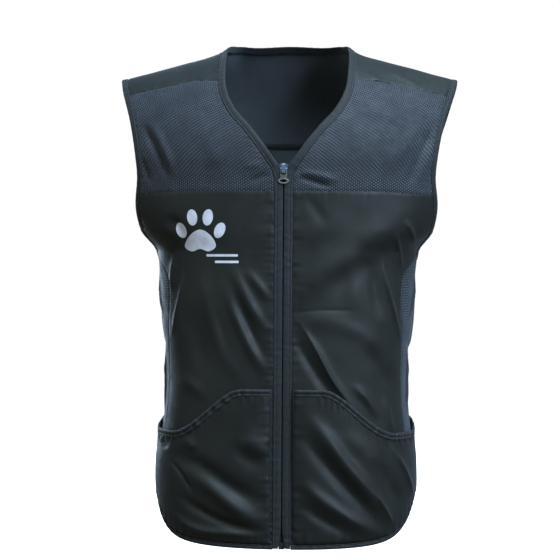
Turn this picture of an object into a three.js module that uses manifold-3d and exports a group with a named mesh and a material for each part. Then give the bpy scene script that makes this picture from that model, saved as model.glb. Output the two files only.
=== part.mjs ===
// Sleeveless zip-front training vest: stretch softshell body, mesh front yokes and side panels,
// bound edges, two patch pockets, a separating coil zip with an auto-lock slider and ring puller.
//
// Millimetres, +Z up. The front faces -Y and the wearer's left is +X. The origin lies midway between
// the two places where the shoulder seams rest on the wearer, so everything hangs below it.
import * as THREE from 'three';
import Module from 'manifold-3d';
import { mergeVertices } from 'three/addons/utils/BufferGeometryUtils.js';

const wasm = await Module();
wasm.setup();

// ---------------------------------------------------------------- driving dimensions
const NECK_HALF_WIDTH = 75; // centre line to neck point
const SHOULDER_HALF_WIDTH = 218; // centre line to shoulder tip
const SHOULDER_SLOPE_DEG = 15;
const NECK_RISE = 11; // how far the shoulder line lifts where it meets the neck

const CHEST_Z = -131; // the trunk is straight below this height and rounds over above it
const ZIP_TOP_Z = -136; // bottom of the V neck
const YOKE_SEAM_Z = -168; // mesh yoke to front panel
const BACK_YOKE_SEAM_Z = -95;
const SHOULDER_SEAM_ARM_Z = -46; // the mesh yoke's top seam at the armhole
const SHOULDER_SEAM_NECK_Z = -25; // and at the neck
const SIDE_SEAM_TOP_Y = 20; // front and back side seams, either side of the underarm
const SIDE_SEAM_HEM_DEG = 70; // front side seam at the hem, as an angle round the body
const UNDERARM_Z = -243;
const WAIST_Z = -405;
const HIP_Z = -540;
const HEM_Z = -611; // centre front and centre back
const SIDE_HEM_RISE = 50; // the hem lifts this much more at the sides
const FRONT_HEM_RISE = 8;
const HEM_NOTCH_DEG = 26; // half width of the lift, as an angle around the body

const UNDERARM_HALF_WIDTH = 168;
const WAIST_HALF_WIDTH = 155;
const HIP_HALF_WIDTH = 166;
const CHEST_INSET = 3; // the trunk at the chest is this much narrower than the shoulders, each side
const CAP_OVERHANG = 16; // and at the height of the shoulders this much wider
const FRONT_DEPTH_CHEST = 118;
const FRONT_DEPTH_HEM = 111;
const BACK_DEPTH_CHEST = 116;
const BACK_DEPTH_WAIST = 98;
const BACK_DEPTH_HEM = 113;
const SECTION_POWER = 2.4; // roundness of the level sections
const FRONT_ROOF_POWER = 1.6; // how flatly the chest slopes back to the shoulder line
const BACK_ROOF_POWER = 2.5;

const FABRIC = 1.2; // body fabric with its folded allowances
const BAND = 2.6; // thickness of a bound edge
const NECK_BAND_WIDTH = 9;
const ARM_BAND_WIDTH = 7.5;
const HEM_BAND_WIDTH = 5.5;
const POCKET_BAND_WIDTH = 8;
const SEAM_GAP = 0.4; // clearance between neighbouring pieces

const POCKET_TOP_Z = -413; // level stretch of the pocket edge beside the zip
const POCKET_DIP_Z = -469; // lowest point of the pocket edge
const POCKET_LEVEL_X = 50; // the edge starts to drop here
const POCKET_DIP_X = 136;
const POCKET_SEWN_OFFSET = 2.4; // pocket fabric over panel fabric where they are sewn
const POCKET_FULLNESS = 9; // extra stand-off at the middle of the pocket
const POCKET_BACK_RISE = 16; // how far the edge climbs behind the side

const STRIP_HALF_WIDTH = 10.8; // centre line to the outer fold of the zip facing
const STRIP_THICKNESS = 1;
const STRIP_PARTING = 0.8; // half the gap between the two facings
const STRIP_TOP_PARTING = 6.5; // half the gap where the slider sits when closed
const STRIP_BOTTOM_PARTING = 4.2; // half the gap at the hem
const STRIP_TOP_FLARE = 24; // length over which the top opens
const STRIP_BOTTOM_FLARE = 28;
const TAPE_WIDTH = 14;
const TAPE_THICKNESS = 0.6;
const TAPE_TOP_DROP = 6; // the tape ends this far below the top of the zip
const COIL_WIDTH = 2.4;
const COIL_DEPTH = 1.8;
const FIT = 0.3; // running clearance inside the zip
const SLIDER_LENGTH = 12;
const SLIDER_WIDTH = 10.4;
const SLIDER_MOUTH = 1.5; // the slider stands this far above the V
const PLATE = 1.2;
const WELD = 0.2; // how far joined shapes of one casting reach into each other
const CAP_WIDTH = 4.4;
const CAP_THICKNESS = 1.8;
const BAIL_RADIUS = 0.8;
const PULLER_THICKNESS = 1.4;
const PULLER_WIDTH = 8.6;
const PULLER_ARM = 1.6;
const PULLER_REACH = 19; // hinge to the end of the ring
const RING_WIDTH = 13.6;
const RING_HEIGHT = 7.6;
const RING_WIRE = 1.8;
const RETAINER_HEIGHT = 8;
const RETAINER_WIDTH = 7.4;
const PIN_LENGTH = 26;
const PIN_INSET = 0.15; // pins are this much slimmer all round than the coil
const PIN_FOOT = 1.6; // pins start this far above the end of the zip
const RETAINER_FLOOR = 1.2;
const RETAINER_BACK_WALL = 0.9;
const TOP_STOP_LENGTH = 2;
const TOP_STOP_RISE = 0.2; // top stops stand this far above the zip's top
const SLIM_BEVEL = 0.3; // rounding of the slider plates and the puller's arms
const FULL_BEVEL = 0.35; // rounding of the cap, the ring and the retainer box
const FLANGE = 0.8;

const EMBLEM_X = -104; // wearer's right chest
const EMBLEM_Z = -218;
const EMBLEM_WIDTH = 66;
const FILM_LIFT = 1.9;
const FILM_THICKNESS = 0.4;

// ---------------------------------------------------------------- materials
function finish(color, roughness, metalness) {
  return new THREE.MeshStandardMaterial({ color, roughness, metalness });
}

const cloth = (color, roughness = 0.78) => finish(color, roughness, 0);
const metal = (color, roughness = 0.38) => finish(color, roughness, 0.9);
const SOFTSHELL = 0x262c2e;
const YOKE_CLOTH = 0x333c3a;
const MESH_CLOTH = 0x2f3846;
const BAND_CLOTH = 0x2a3233;
const STRIP_CLOTH = 0x2c3235;
const TAPE_CLOTH = 0x171a1c;
const COIL_NYLON = 0x141618;
const PEWTER = 0x6a706c;
const SLIDER_STEEL = 0x5b6f96;
const REFLECTIVE = 0xbdbdcc;

// ---------------------------------------------------------------- the body's surface
const shoulderRestX = (NECK_HALF_WIDTH + SHOULDER_HALF_WIDTH) / 2;
const shoulderSlope = Math.tan(THREE.MathUtils.degToRad(SHOULDER_SLOPE_DEG));
const NECK_ROUNDING = 25; // softens the shoulder line where it crosses the centre
const chestHalfWidth = SHOULDER_HALF_WIDTH - CHEST_INSET;
const lerp = THREE.MathUtils.lerp;

// Smooth curve through [z, value] pairs that never overshoots between them.
function profile(points) {
  const slopes = points.slice(1).map(([z, v], k) => (v - points[k][1]) / (z - points[k][0]));
  const tangents = points.map((_, k) => {
    const before = slopes[k - 1] ?? 0;
    const after = slopes[k] ?? 0;
    return before * after <= 0 ? 0 : (2 * before * after) / (before + after);
  });
  return (z) => {
    if (z <= points[0][0]) return points[0][1];
    const last = points.length - 1;
    if (z >= points[last][0]) return points[last][1];
    const k = points.findIndex(([pz]) => pz > z) - 1;
    const span = points[k + 1][0] - points[k][0];
    const t = (z - points[k][0]) / span;
    const keep = (1 + 2 * t) * (1 - t) ** 2;
    return (
      keep * points[k][1] +
      (1 - keep) * points[k + 1][1] +
      t * (1 - t) ** 2 * span * tangents[k] -
      t * t * (1 - t) * span * tangents[k + 1]
    );
  };
}

const halfWidth = profile([
  [HIP_Z, HIP_HALF_WIDTH],
  [(HIP_Z + WAIST_Z) / 2, (HIP_HALF_WIDTH + WAIST_HALF_WIDTH) / 2],
  [WAIST_Z, WAIST_HALF_WIDTH],
  [(WAIST_Z + UNDERARM_Z) / 2, (WAIST_HALF_WIDTH + UNDERARM_HALF_WIDTH) / 2],
  [UNDERARM_Z, UNDERARM_HALF_WIDTH],
  [UNDERARM_Z + 29, lerp(UNDERARM_HALF_WIDTH, chestHalfWidth, 0.55)],
  [UNDERARM_Z + 61, lerp(UNDERARM_HALF_WIDTH, chestHalfWidth, 0.83)],
  [CHEST_Z, chestHalfWidth],
  [0, SHOULDER_HALF_WIDTH + CAP_OVERHANG],
]);
const frontLean = (FRONT_DEPTH_CHEST - FRONT_DEPTH_HEM) / (CHEST_Z - HEM_Z);
const frontDepth = (z) => FRONT_DEPTH_CHEST + frontLean * (Math.min(z, CHEST_Z) - CHEST_Z);
const backDepth = profile([
  [HEM_Z, BACK_DEPTH_HEM],
  [HIP_Z, BACK_DEPTH_HEM],
  [WAIST_Z, BACK_DEPTH_WAIST],
  [UNDERARM_Z, (BACK_DEPTH_WAIST + BACK_DEPTH_CHEST) / 2 + 3],
  [CHEST_Z, BACK_DEPTH_CHEST],
]);

function shoulderLineZ(x) {
  const lift = NECK_RISE * Math.exp(-((Math.max(Math.abs(x) - NECK_HALF_WIDTH + 15, 0) / 22) ** 2));
  return (shoulderRestX - Math.hypot(x, NECK_ROUNDING)) * shoulderSlope + lift;
}

// Zero on the vest's mid-surface, negative inside the body.
function bodyLevel(x, y, z) {
  const depth = y < 0 ? frontDepth(z) : backDepth(z);
  const across = (Math.abs(x) / halfWidth(z)) ** SECTION_POWER;
  if (z <= CHEST_Z) return across + (Math.abs(y) / depth) ** SECTION_POWER - 1;
  const power = y < 0 ? FRONT_ROOF_POWER : BACK_ROOF_POWER;
  const rise = (z - CHEST_Z) / (shoulderLineZ(x) - CHEST_Z);
  const reach = depth * Math.max(1 - across, 1e-3) ** (1 / SECTION_POWER);
  return rise ** power + (Math.abs(y) / reach) ** power - 1;
}

function bodyGradient(p) {
  const step = 0.4;
  return new THREE.Vector3(
    bodyLevel(p.x + step, p.y, p.z) - bodyLevel(p.x - step, p.y, p.z),
    bodyLevel(p.x, p.y + step, p.z) - bodyLevel(p.x, p.y - step, p.z),
    bodyLevel(p.x, p.y, p.z + step) - bodyLevel(p.x, p.y, p.z - step),
  ).divideScalar(2 * step);
}

const outward = (p) => bodyGradient(p).normalize();

function onBody(p) {
  const q = p.clone();
  for (let pass = 0; pass < 12; pass += 1) {
    const gradient = bodyGradient(q);
    const move = THREE.MathUtils.clamp(-bodyLevel(q.x, q.y, q.z) / gradient.length(), -12, 12);
    q.addScaledVector(gradient.normalize(), move);
  }
  return q;
}

// Point of a level section: 0 degrees at centre front, 90 at the side, 180 at centre back.
function aroundBody(degrees, z, side = 1) {
  const angle = THREE.MathUtils.degToRad(degrees);
  const sine = Math.abs(Math.sin(angle)) ** (2 / SECTION_POWER);
  const cosine = Math.abs(Math.cos(angle)) ** (2 / SECTION_POWER);
  const y = degrees < 90 ? -frontDepth(z) * cosine : backDepth(z) * cosine;
  return new THREE.Vector3(side * halfWidth(z) * sine, y, z);
}

// Point of the front face at a given x and height.
function onFront(x, z) {
  const across = (Math.abs(x) / halfWidth(z)) ** SECTION_POWER;
  return new THREE.Vector3(x, -frontDepth(z) * (1 - across) ** (1 / SECTION_POWER), z);
}

// ---------------------------------------------------------------- curves on the body
const mirror = (p) => new THREE.Vector3(-p.x, p.y, p.z);
const vec = (x, y, z) => new THREE.Vector3(x, y, z);

// Evenly spaced points of a smooth curve between two of its fractions, laid on the body.
function span(curve, from, to, steps) {
  const share = (k) => from + ((to - from) * k) / steps;
  return Array.from({ length: steps + 1 }, (_, k) => onBody(curve.getPointAt(share(k))));
}

// Joins spans that share their end points.
const joined = (...spans) => spans.flatMap((points, k) => (k ? points.slice(1) : points));

// Fraction of a curve where a measure of its point first passes a value.
function crossing(curve, measure, value) {
  const count = 800;
  const start = measure(curve.getPointAt(0)) - value;
  for (let k = 1; k <= count; k += 1) {
    if ((measure(curve.getPointAt(k / count)) - value) * start <= 0) return k / count;
  }
  throw new Error('the curve never reaches that value');
}

// The line that runs beside an edge at a distance, on the body. sign picks the side.
function beside(points, distance, sign, closed = false) {
  const count = points.length;
  return points.map((p, k) => {
    const before = points[closed ? (k + count - 1) % count : Math.max(k - 1, 0)];
    const after = points[closed ? (k + 1) % count : Math.min(k + 1, count - 1)];
    const along = after.clone().sub(before).normalize();
    return onBody(p.clone().addScaledVector(outward(p).cross(along).normalize(), sign * distance));
  });
}

// Armhole of the wearer's left: shoulder tip, down the front, under the arm and up the back.
const armX = (share) => lerp(UNDERARM_HALF_WIDTH, SHOULDER_HALF_WIDTH, share);
const armFront = [
  vec(SHOULDER_HALF_WIDTH, 0, shoulderLineZ(SHOULDER_HALF_WIDTH)),
  vec(armX(0.86), -28, -42),
  vec(armX(0.62), -53, -78),
  vec(armX(0.46), -66, CHEST_Z + 13),
  vec(armX(0.42), -67, CHEST_Z - 19),
  vec(armX(0.5), -58, UNDERARM_Z + 61),
  vec(armX(0.38), -44, UNDERARM_Z + 29),
  vec(armX(0.08), -24, UNDERARM_Z + 6),
];
const underarm = vec(UNDERARM_HALF_WIDTH, 0, UNDERARM_Z);
const armBack = armFront.slice(1).reverse().map((p) => vec(p.x, -p.y, p.z));
const armPoints = [...armFront, underarm, ...armBack].map(onBody);
const armCurve = new THREE.CatmullRomCurve3(armPoints, true, 'centripetal');
const height = (p) => p.z;
const atTopSeam = crossing(armCurve, height, SHOULDER_SEAM_ARM_Z);
const atYokeSeam = crossing(armCurve, height, YOKE_SEAM_Z);
const atBackYokeSeam = 1 - crossing(armCurve, height, BACK_YOKE_SEAM_Z);
const halfway = crossing(armCurve, (p) => p.y + (p.z > CHEST_Z ? -1e3 : 0), 0);
const frontSeamBelow = (p) => (p.z < CHEST_Z ? p.y + SIDE_SEAM_TOP_Y : -1e3);
const atFrontSideSeam = crossing(armCurve, frontSeamBelow, 0);
const atBackSideSeam = 2 * halfway - atFrontSideSeam;

const ARM_STEPS = { toTopSeam: 2, toYokeSeam: 8, toSideSeam: 4, underArm: 6, toBackYoke: 8, toShoulder: 4 };
const armOuter = joined(
  span(armCurve, 0, atTopSeam, ARM_STEPS.toTopSeam),
  span(armCurve, atTopSeam, atYokeSeam, ARM_STEPS.toYokeSeam),
  span(armCurve, atYokeSeam, atFrontSideSeam, ARM_STEPS.toSideSeam),
  span(armCurve, atFrontSideSeam, atBackSideSeam, ARM_STEPS.underArm),
  span(armCurve, atBackSideSeam, atBackYokeSeam, ARM_STEPS.toBackYoke),
  span(armCurve, atBackYokeSeam, 1, ARM_STEPS.toShoulder),
).slice(0, -1);
const armInner = beside(armOuter, ARM_BAND_WIDTH, -1, true);
const armMark = { topSeam: ARM_STEPS.toTopSeam };
armMark.yokeSeam = armMark.topSeam + ARM_STEPS.toYokeSeam;
armMark.frontSide = armMark.yokeSeam + ARM_STEPS.toSideSeam;
armMark.backSide = armMark.frontSide + ARM_STEPS.underArm;
armMark.backYoke = armMark.backSide + ARM_STEPS.toBackYoke;
armMark.shoulder = armMark.backYoke + ARM_STEPS.toShoulder;
const armStretch = (from, to) => {
  const count = armInner.length;
  return Array.from({ length: to - from + 1 }, (_, k) => armInner[(from + k) % count].clone());
};

// Neckline of the wearer's left half: V bottom, over the shoulder, to centre back.
const neckCurve = new THREE.CatmullRomCurve3(
  [
    vec(STRIP_TOP_PARTING + 0.5, -FRONT_DEPTH_CHEST, ZIP_TOP_Z),
    vec(NECK_HALF_WIDTH - 49, -114, ZIP_TOP_Z + 27),
    vec(NECK_HALF_WIDTH - 31, -107, ZIP_TOP_Z + 50),
    vec(NECK_HALF_WIDTH - 13, -95, ZIP_TOP_Z + 70),
    vec(NECK_HALF_WIDTH - 1, -78, ZIP_TOP_Z + 96),
    vec(NECK_HALF_WIDTH + 2, -54, ZIP_TOP_Z + 124),
    vec(NECK_HALF_WIDTH, 0, shoulderLineZ(NECK_HALF_WIDTH)),
    vec(NECK_HALF_WIDTH - 8, 28, 30),
    vec(NECK_HALF_WIDTH - 30, 47, 32),
    vec(0, 55, 33),
    vec(30 - NECK_HALF_WIDTH, 47, 32),
  ].map(onBody),
  false,
  'centripetal',
);
const atNeckSeam = crossing(neckCurve, height, SHOULDER_SEAM_NECK_Z);
const atCentreBack = crossing(neckCurve, (p) => p.x, 0);
const NECK_STEPS = { front: 6, shoulder: 6, halfBack: 7 };
const atNeckTurn = atNeckSeam + (atCentreBack - atNeckSeam) * 0.5;
const neckHalf = joined(
  span(neckCurve, 0, atNeckSeam, NECK_STEPS.front),
  span(neckCurve, atNeckSeam, atNeckTurn, NECK_STEPS.shoulder),
  span(neckCurve, atNeckTurn, atCentreBack, NECK_STEPS.halfBack),
);
const neckOuter = [...neckHalf, ...neckHalf.slice(0, -1).reverse().map(mirror)];
const neckInner = beside(neckOuter, NECK_BAND_WIDTH, -1);
const neckMark = { seam: NECK_STEPS.front };

// The hem, as a height at each angle round the body, and its band.
function hemZ(degrees) {
  const notch = Math.exp(-(((degrees - 90) / HEM_NOTCH_DEG) ** 2));
  const sweep = Math.sin(THREE.MathUtils.degToRad(degrees)) ** 2;
  return HEM_Z + FRONT_HEM_RISE * sweep + SIDE_HEM_RISE * notch;
}
const STRIP_CLEAR_X = STRIP_HALF_WIDTH + SEAM_GAP;
function angleAtX(x, z) {
  return THREE.MathUtils.radToDeg(Math.asin((x / halfWidth(z)) ** (SECTION_POWER / 2)));
}
const HEM_STEPS = { front: 8, side: 6, halfBack: 7 };
const hemStart = angleAtX(STRIP_CLEAR_X, HEM_Z);
function hemSpan(from, to, steps) {
  return Array.from({ length: steps + 1 }, (_, k) => {
    const degrees = from + ((to - from) * k) / steps;
    return aroundBody(degrees, hemZ(degrees));
  });
}
const hemHalf = joined(
  hemSpan(hemStart, SIDE_SEAM_HEM_DEG, HEM_STEPS.front),
  hemSpan(SIDE_SEAM_HEM_DEG, 180 - SIDE_SEAM_HEM_DEG, HEM_STEPS.side),
  hemSpan(180 - SIDE_SEAM_HEM_DEG, 180, HEM_STEPS.halfBack),
);
const hemOuter = [...hemHalf, ...hemHalf.slice(0, -1).reverse().map(mirror)];
const hemInner = beside(hemOuter, HEM_BAND_WIDTH, 1);
hemInner[0].x = STRIP_CLEAR_X;
hemInner[hemInner.length - 1].x = -STRIP_CLEAR_X;
const hemMark = { frontSide: HEM_STEPS.front, backSide: HEM_STEPS.front + HEM_STEPS.side };

// ---------------------------------------------------------------- the zip facing's outer edge
const stripTopZ = ZIP_TOP_Z - 6; // mitre where the neck band turns into the facing
function stripOuterX(z) {
  const t = THREE.MathUtils.clamp((z - (stripTopZ - 14)) / 14, 0, 1);
  return STRIP_HALF_WIDTH + 3.3 * t * t;
}
const panelEdge = (z) => onFront(stripOuterX(z) + SEAM_GAP, z);

// ---------------------------------------------------------------- seams

function seamBetween(start, end, steps, guide = []) {
  const curve = new THREE.CatmullRomCurve3([start, ...guide, end].map(onBody), false, 'centripetal');
  return span(curve, 0, 1, steps);
}

const SIDE_SEAM_STEPS = 12;
const seamTop = armInner[armMark.frontSide];
const seamFoot = hemInner[hemMark.frontSide];
const seamInset = 17; // how far the side seam stands in from the side at its narrowest
const frontSideSeam = seamBetween(seamTop, seamFoot, SIDE_SEAM_STEPS, [
  vec(UNDERARM_HALF_WIDTH - seamInset - 3, -60, UNDERARM_Z - 28),
  vec(UNDERARM_HALF_WIDTH - seamInset - 4, -64, UNDERARM_Z - 50),
  vec(WAIST_HALF_WIDTH - seamInset / 2, -55, WAIST_Z + 50),
  vec(WAIST_HALF_WIDTH - seamInset / 3, -50, WAIST_Z - 20),
]);
const backSideSeam = seamBetween(armInner[armMark.backSide], hemInner[hemMark.backSide], SIDE_SEAM_STEPS, [
  vec(UNDERARM_HALF_WIDTH - seamInset - 3, 60, UNDERARM_Z - 28),
  vec(UNDERARM_HALF_WIDTH - seamInset - 4, 64, UNDERARM_Z - 50),
  vec(WAIST_HALF_WIDTH - seamInset / 2, 50, WAIST_Z + 50),
  vec(WAIST_HALF_WIDTH - seamInset / 3, 45, WAIST_Z - 20),
]);
const YOKE_STEPS = 8;
const yokeSeam = seamBetween(panelEdge(YOKE_SEAM_Z), armInner[armMark.yokeSeam], YOKE_STEPS, [
  vec(60, -116, YOKE_SEAM_Z),
  vec(120, -104, YOKE_SEAM_Z),
]);
const topSeam = seamBetween(neckInner[neckMark.seam], armInner[armMark.topSeam], YOKE_STEPS, [
  vec(112, -58, -25.5),
  vec(150, -53, -32),
]);
const backYokeMiddle = vec(0, BACK_DEPTH_CHEST, BACK_YOKE_SEAM_Z);
const backHalfSeam = seamBetween(armInner[armMark.backYoke], backYokeMiddle, 7, [
  vec(150, 90, BACK_YOKE_SEAM_Z),
  vec(75, 110, BACK_YOKE_SEAM_Z),
]);
const backYokeSeam = [...backHalfSeam, ...backHalfSeam.slice(0, -1).reverse().map(mirror)];

// ---------------------------------------------------------------- sheets and bands
// Fills four edges with a grid of points on the body. left and right run upwards with the rows.
function patch(bottom, top, left, right) {
  const rows = left.length - 1;
  const columns = bottom.length - 1;
  return left.map((_, j) =>
    bottom.map((_, i) => {
      const u = i / columns;
      const v = j / rows;
      const p = left[j].clone().lerp(right[j], u);
      p.add(bottom[i].clone().lerp(top[i], v));
      const low = bottom[0].clone().lerp(bottom[columns], u);
      const high = top[0].clone().lerp(top[columns], u);
      p.sub(low.lerp(high, v));
      const edge = i === 0 || i === columns || j === 0 || j === rows;
      return edge ? p : onBody(p);
    }),
  );
}

// Draws the grid's border in by half a seam gap, so that neighbours stay clear of each other.
function clearOfNeighbours(grid) {
  const rows = grid.length - 1;
  const columns = grid[0].length - 1;
  const pull = (from, to) => {
    const step = to.clone().sub(from).normalize().multiplyScalar(SEAM_GAP / 2);
    from.add(step);
  };
  grid.forEach((row) => {
    pull(row[0], row[1]);
    pull(row[columns], row[columns - 1]);
  });
  grid[0].forEach((p, i) => pull(p, grid[1][i]));
  grid[rows].forEach((p, i) => pull(p, grid[rows - 1][i]));
  return grid;
}

// Keeps the end points of a line and spreads the rest, so that two sides can share a count.
function resample(points, count) {
  if (points.length === count) return points;
  const lengths = [0];
  points.slice(1).forEach((p, k) => lengths.push(lengths[k] + p.distanceTo(points[k])));
  const total = lengths[lengths.length - 1];
  return Array.from({ length: count }, (_, n) => {
    const want = (total * n) / (count - 1);
    const k = Math.max(1, lengths.findIndex((l) => l >= want - 1e-9));
    return points[k - 1].clone().lerp(points[k], (want - lengths[k - 1]) / (lengths[k] - lengths[k - 1]));
  });
}

// Closed solid between two layers of the same grid.
function shell(outer, inner) {
  const rows = outer.length;
  const columns = outer[0].length;
  const count = rows * columns;
  const positions = [...outer.flat(), ...inner.flat()].flatMap((p) => [p.x, p.y, p.z]);
  const at = (j, i) => j * columns + i;
  const index = [];
  const quad = (a, b, c, d) => index.push(a, b, c, a, c, d);
  for (let j = 0; j < rows - 1; j += 1) {
    for (let i = 0; i < columns - 1; i += 1) {
      quad(at(j, i), at(j, i + 1), at(j + 1, i + 1), at(j + 1, i));
      quad(count + at(j, i), count + at(j + 1, i), count + at(j + 1, i + 1), count + at(j, i + 1));
    }
  }
  for (let i = 0; i < columns - 1; i += 1) {
    const last = rows - 1;
    quad(at(0, i + 1), at(0, i), count + at(0, i), count + at(0, i + 1));
    quad(at(last, i), at(last, i + 1), count + at(last, i + 1), count + at(last, i));
  }
  for (let j = 0; j < rows - 1; j += 1) {
    const last = columns - 1;
    quad(at(j, 0), at(j + 1, 0), count + at(j + 1, 0), count + at(j, 0));
    quad(at(j + 1, last), at(j, last), count + at(j, last), count + at(j + 1, last));
  }
  return solid(positions, index);
}

// A geometry from points and faces, turned outwards if it was wound the other way.
function solid(positions, index) {
  let volume = 0;
  const point = (k) => new THREE.Vector3().fromArray(positions, 3 * k);
  for (let k = 0; k < index.length; k += 3) {
    volume += point(index[k]).dot(point(index[k + 1]).cross(point(index[k + 2])));
  }
  const faces = volume < 0 ? index.slice().reverse() : index;
  const geometry = new THREE.BufferGeometry();
  geometry.setAttribute('position', new THREE.Float32BufferAttribute(positions, 3));
  geometry.setIndex(faces);
  geometry.computeVertexNormals();
  return geometry;
}

// Fabric sheet on a grid. standOff gives its distance from the body at each place.
function sheet(grid, thickness = FABRIC, standOff = () => 0) {
  const rows = grid.length - 1;
  const columns = grid[0].length - 1;
  const layer = (side) =>
    grid.map((row, j) =>
      row.map((p, i) => {
        const lift = standOff(i / columns, j / rows) + (side * thickness) / 2;
        return p.clone().addScaledVector(outward(p), lift);
      }),
    );
  return shell(layer(1), layer(-1));
}

// Bound edge: a band, rounded along its free edge, between its outer and inner lines.
const BAND_ROUNDING = 0.12; // how much of the width the rounding takes
const BAND_LIP = 0.45; // how much of the thickness is left at the free edge
function band(outer, inner, closed, standOff = () => 0) {
  const half = BAND / 2;
  const outline = [
    [BAND_ROUNDING, half],
    [1, half],
    [1, -half],
    [BAND_ROUNDING, -half],
    [0, -half * BAND_LIP],
    [0, half * BAND_LIP],
  ];
  const rings = outer.map((p, k) => {
    const q = inner[k].clone();
    q.add(p.clone().sub(q).normalize().multiplyScalar(SEAM_GAP / 2));
    return outline.map(([across, lift]) => {
      const point = p.clone().lerp(q, across);
      return point.addScaledVector(outward(point), standOff(k) + lift);
    });
  });
  if (!closed) {
    const pull = (ring, next) => {
      ring.forEach((p, k) => p.add(next[k].clone().sub(p).setLength(SEAM_GAP / 2)));
    };
    pull(rings[0], rings[1]);
    pull(rings[rings.length - 1], rings[rings.length - 2]);
  }
  return tube(rings, closed);
}

// Skin over a row of rings; the ends are capped unless the row closes on itself.
function tube(rings, closed) {
  const sides = rings[0].length;
  const positions = rings.flat().flatMap((p) => [p.x, p.y, p.z]);
  const index = [];
  const links = closed ? rings.length : rings.length - 1;
  for (let r = 0; r < links; r += 1) {
    const next = (r + 1) % rings.length;
    for (let k = 0; k < sides; k += 1) {
      const l = (k + 1) % sides;
      index.push(r * sides + k, r * sides + l, next * sides + l);
      index.push(r * sides + k, next * sides + l, next * sides + k);
    }
  }
  if (!closed) {
    const base = (rings.length - 1) * sides;
    for (let k = 1; k < sides - 1; k += 1) {
      index.push(0, k + 1, k);
      index.push(base, base + k, base + k + 1);
    }
  }
  return solid(positions, index);
}

// ---------------------------------------------------------------- booleans
function toSolid(geometry) {
  const bare = new THREE.BufferGeometry();
  bare.setAttribute('position', geometry.getAttribute('position'));
  if (geometry.index) bare.setIndex(geometry.index);
  const merged = mergeVertices(bare, 1e-4);
  const vertProperties = new Float32Array(merged.getAttribute('position').array);
  const triVerts = new Uint32Array(merged.index.array);
  return new wasm.Manifold(new wasm.Mesh({ numProp: 3, vertProperties, triVerts }));
}

function toGeometry(manifold) {
  const result = manifold.getMesh();
  const geometry = new THREE.BufferGeometry();
  geometry.setAttribute('position', new THREE.Float32BufferAttribute(result.vertProperties, 3));
  geometry.setIndex(new THREE.BufferAttribute(result.triVerts, 1));
  geometry.computeVertexNormals();
  return geometry;
}

// ---------------------------------------------------------------- the assembly
const vest = new THREE.Group();
vest.name = 'vest';

function add(parent, name, geometry, material) {
  const mesh = new THREE.Mesh(geometry, material);
  mesh.name = name;
  parent.add(mesh);
  return mesh;
}

const flipped = (grid) => grid.map((row) => row.map(mirror));
const sides = [
  ['left', (grid) => grid, (points) => points],
  ['right', flipped, (points) => points.map(mirror)],
];

// Front yoke: mesh between the zip, the neckline, the shoulder seam, the armhole and the yoke seam.
const yokeInnerEdge = [
  panelEdge(YOKE_SEAM_Z),
  panelEdge(lerp(YOKE_SEAM_Z, stripTopZ, 0.55)),
  ...neckInner.slice(0, neckMark.seam + 1),
];
const yokeOuterEdge = armStretch(armMark.topSeam, armMark.yokeSeam).reverse();
const yokeInner = resample(yokeInnerEdge, yokeOuterEdge.length);

// Front panel: from the yoke seam to the hem; its outer edge follows the armhole, then the side seam.
const panelArmEdge = armStretch(armMark.yokeSeam, armMark.frontSide);
const panelOuterEdge = [...panelArmEdge, ...frontSideSeam.slice(1)].reverse();
const panelFoot = hemInner[0].z;
const panelInnerEdge = panelOuterEdge.map((p) => {
  const low = panelOuterEdge[0].z;
  const high = panelOuterEdge[panelOuterEdge.length - 1].z;
  return panelEdge(lerp(panelFoot, YOKE_SEAM_Z, (p.z - low) / (high - low)));
});
const hemFront = hemInner.slice(0, hemMark.frontSide + 1);

// Side panel: mesh, wrapping the side between the two side seams.
const underArmEdge = armStretch(armMark.frontSide, armMark.backSide);
const hemSide = hemInner.slice(hemMark.frontSide, hemMark.backSide + 1);

sides.forEach(([side, place, line]) => {
  const copy = (points) => points.map((p) => p.clone());
  const yoke = patch(copy(yokeSeam), copy(topSeam), copy(yokeInner), copy(yokeOuterEdge));
  add(vest, `front_yoke_mesh_${side}`, sheet(place(clearOfNeighbours(yoke))), cloth(MESH_CLOTH, 0.7));
  const front = patch(copy(hemFront), copy(yokeSeam), copy(panelInnerEdge), copy(panelOuterEdge));
  add(vest, `front_panel_${side}`, sheet(place(clearOfNeighbours(front))), cloth(SOFTSHELL));
  const upwards = [copy(frontSideSeam).reverse(), copy(backSideSeam).reverse()];
  const flank = patch(copy(hemSide), copy(underArmEdge), ...upwards);
  add(vest, `side_mesh_panel_${side}`, sheet(place(clearOfNeighbours(flank))), cloth(MESH_CLOTH, 0.7));
  add(vest, `armhole_binding_${side}`, band(line(armOuter), line(armInner), true), cloth(BAND_CLOTH));
});

// Back panel: one piece between the back yoke seam, the armholes, the side seams and the hem.
const backArmEdge = armStretch(armMark.backSide, armMark.backYoke).reverse();
const backLeftEdge = [...backArmEdge, ...backSideSeam.slice(1)].reverse();
const hemBack = hemInner.slice(hemMark.backSide, hemInner.length - hemMark.backSide);
const backGrid = patch(
  hemBack.map((p) => p.clone()),
  backYokeSeam.map((p) => p.clone()),
  backLeftEdge.map((p) => p.clone()),
  backLeftEdge.map(mirror),
);
add(vest, 'back_panel', sheet(clearOfNeighbours(backGrid)), cloth(SOFTSHELL));

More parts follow.
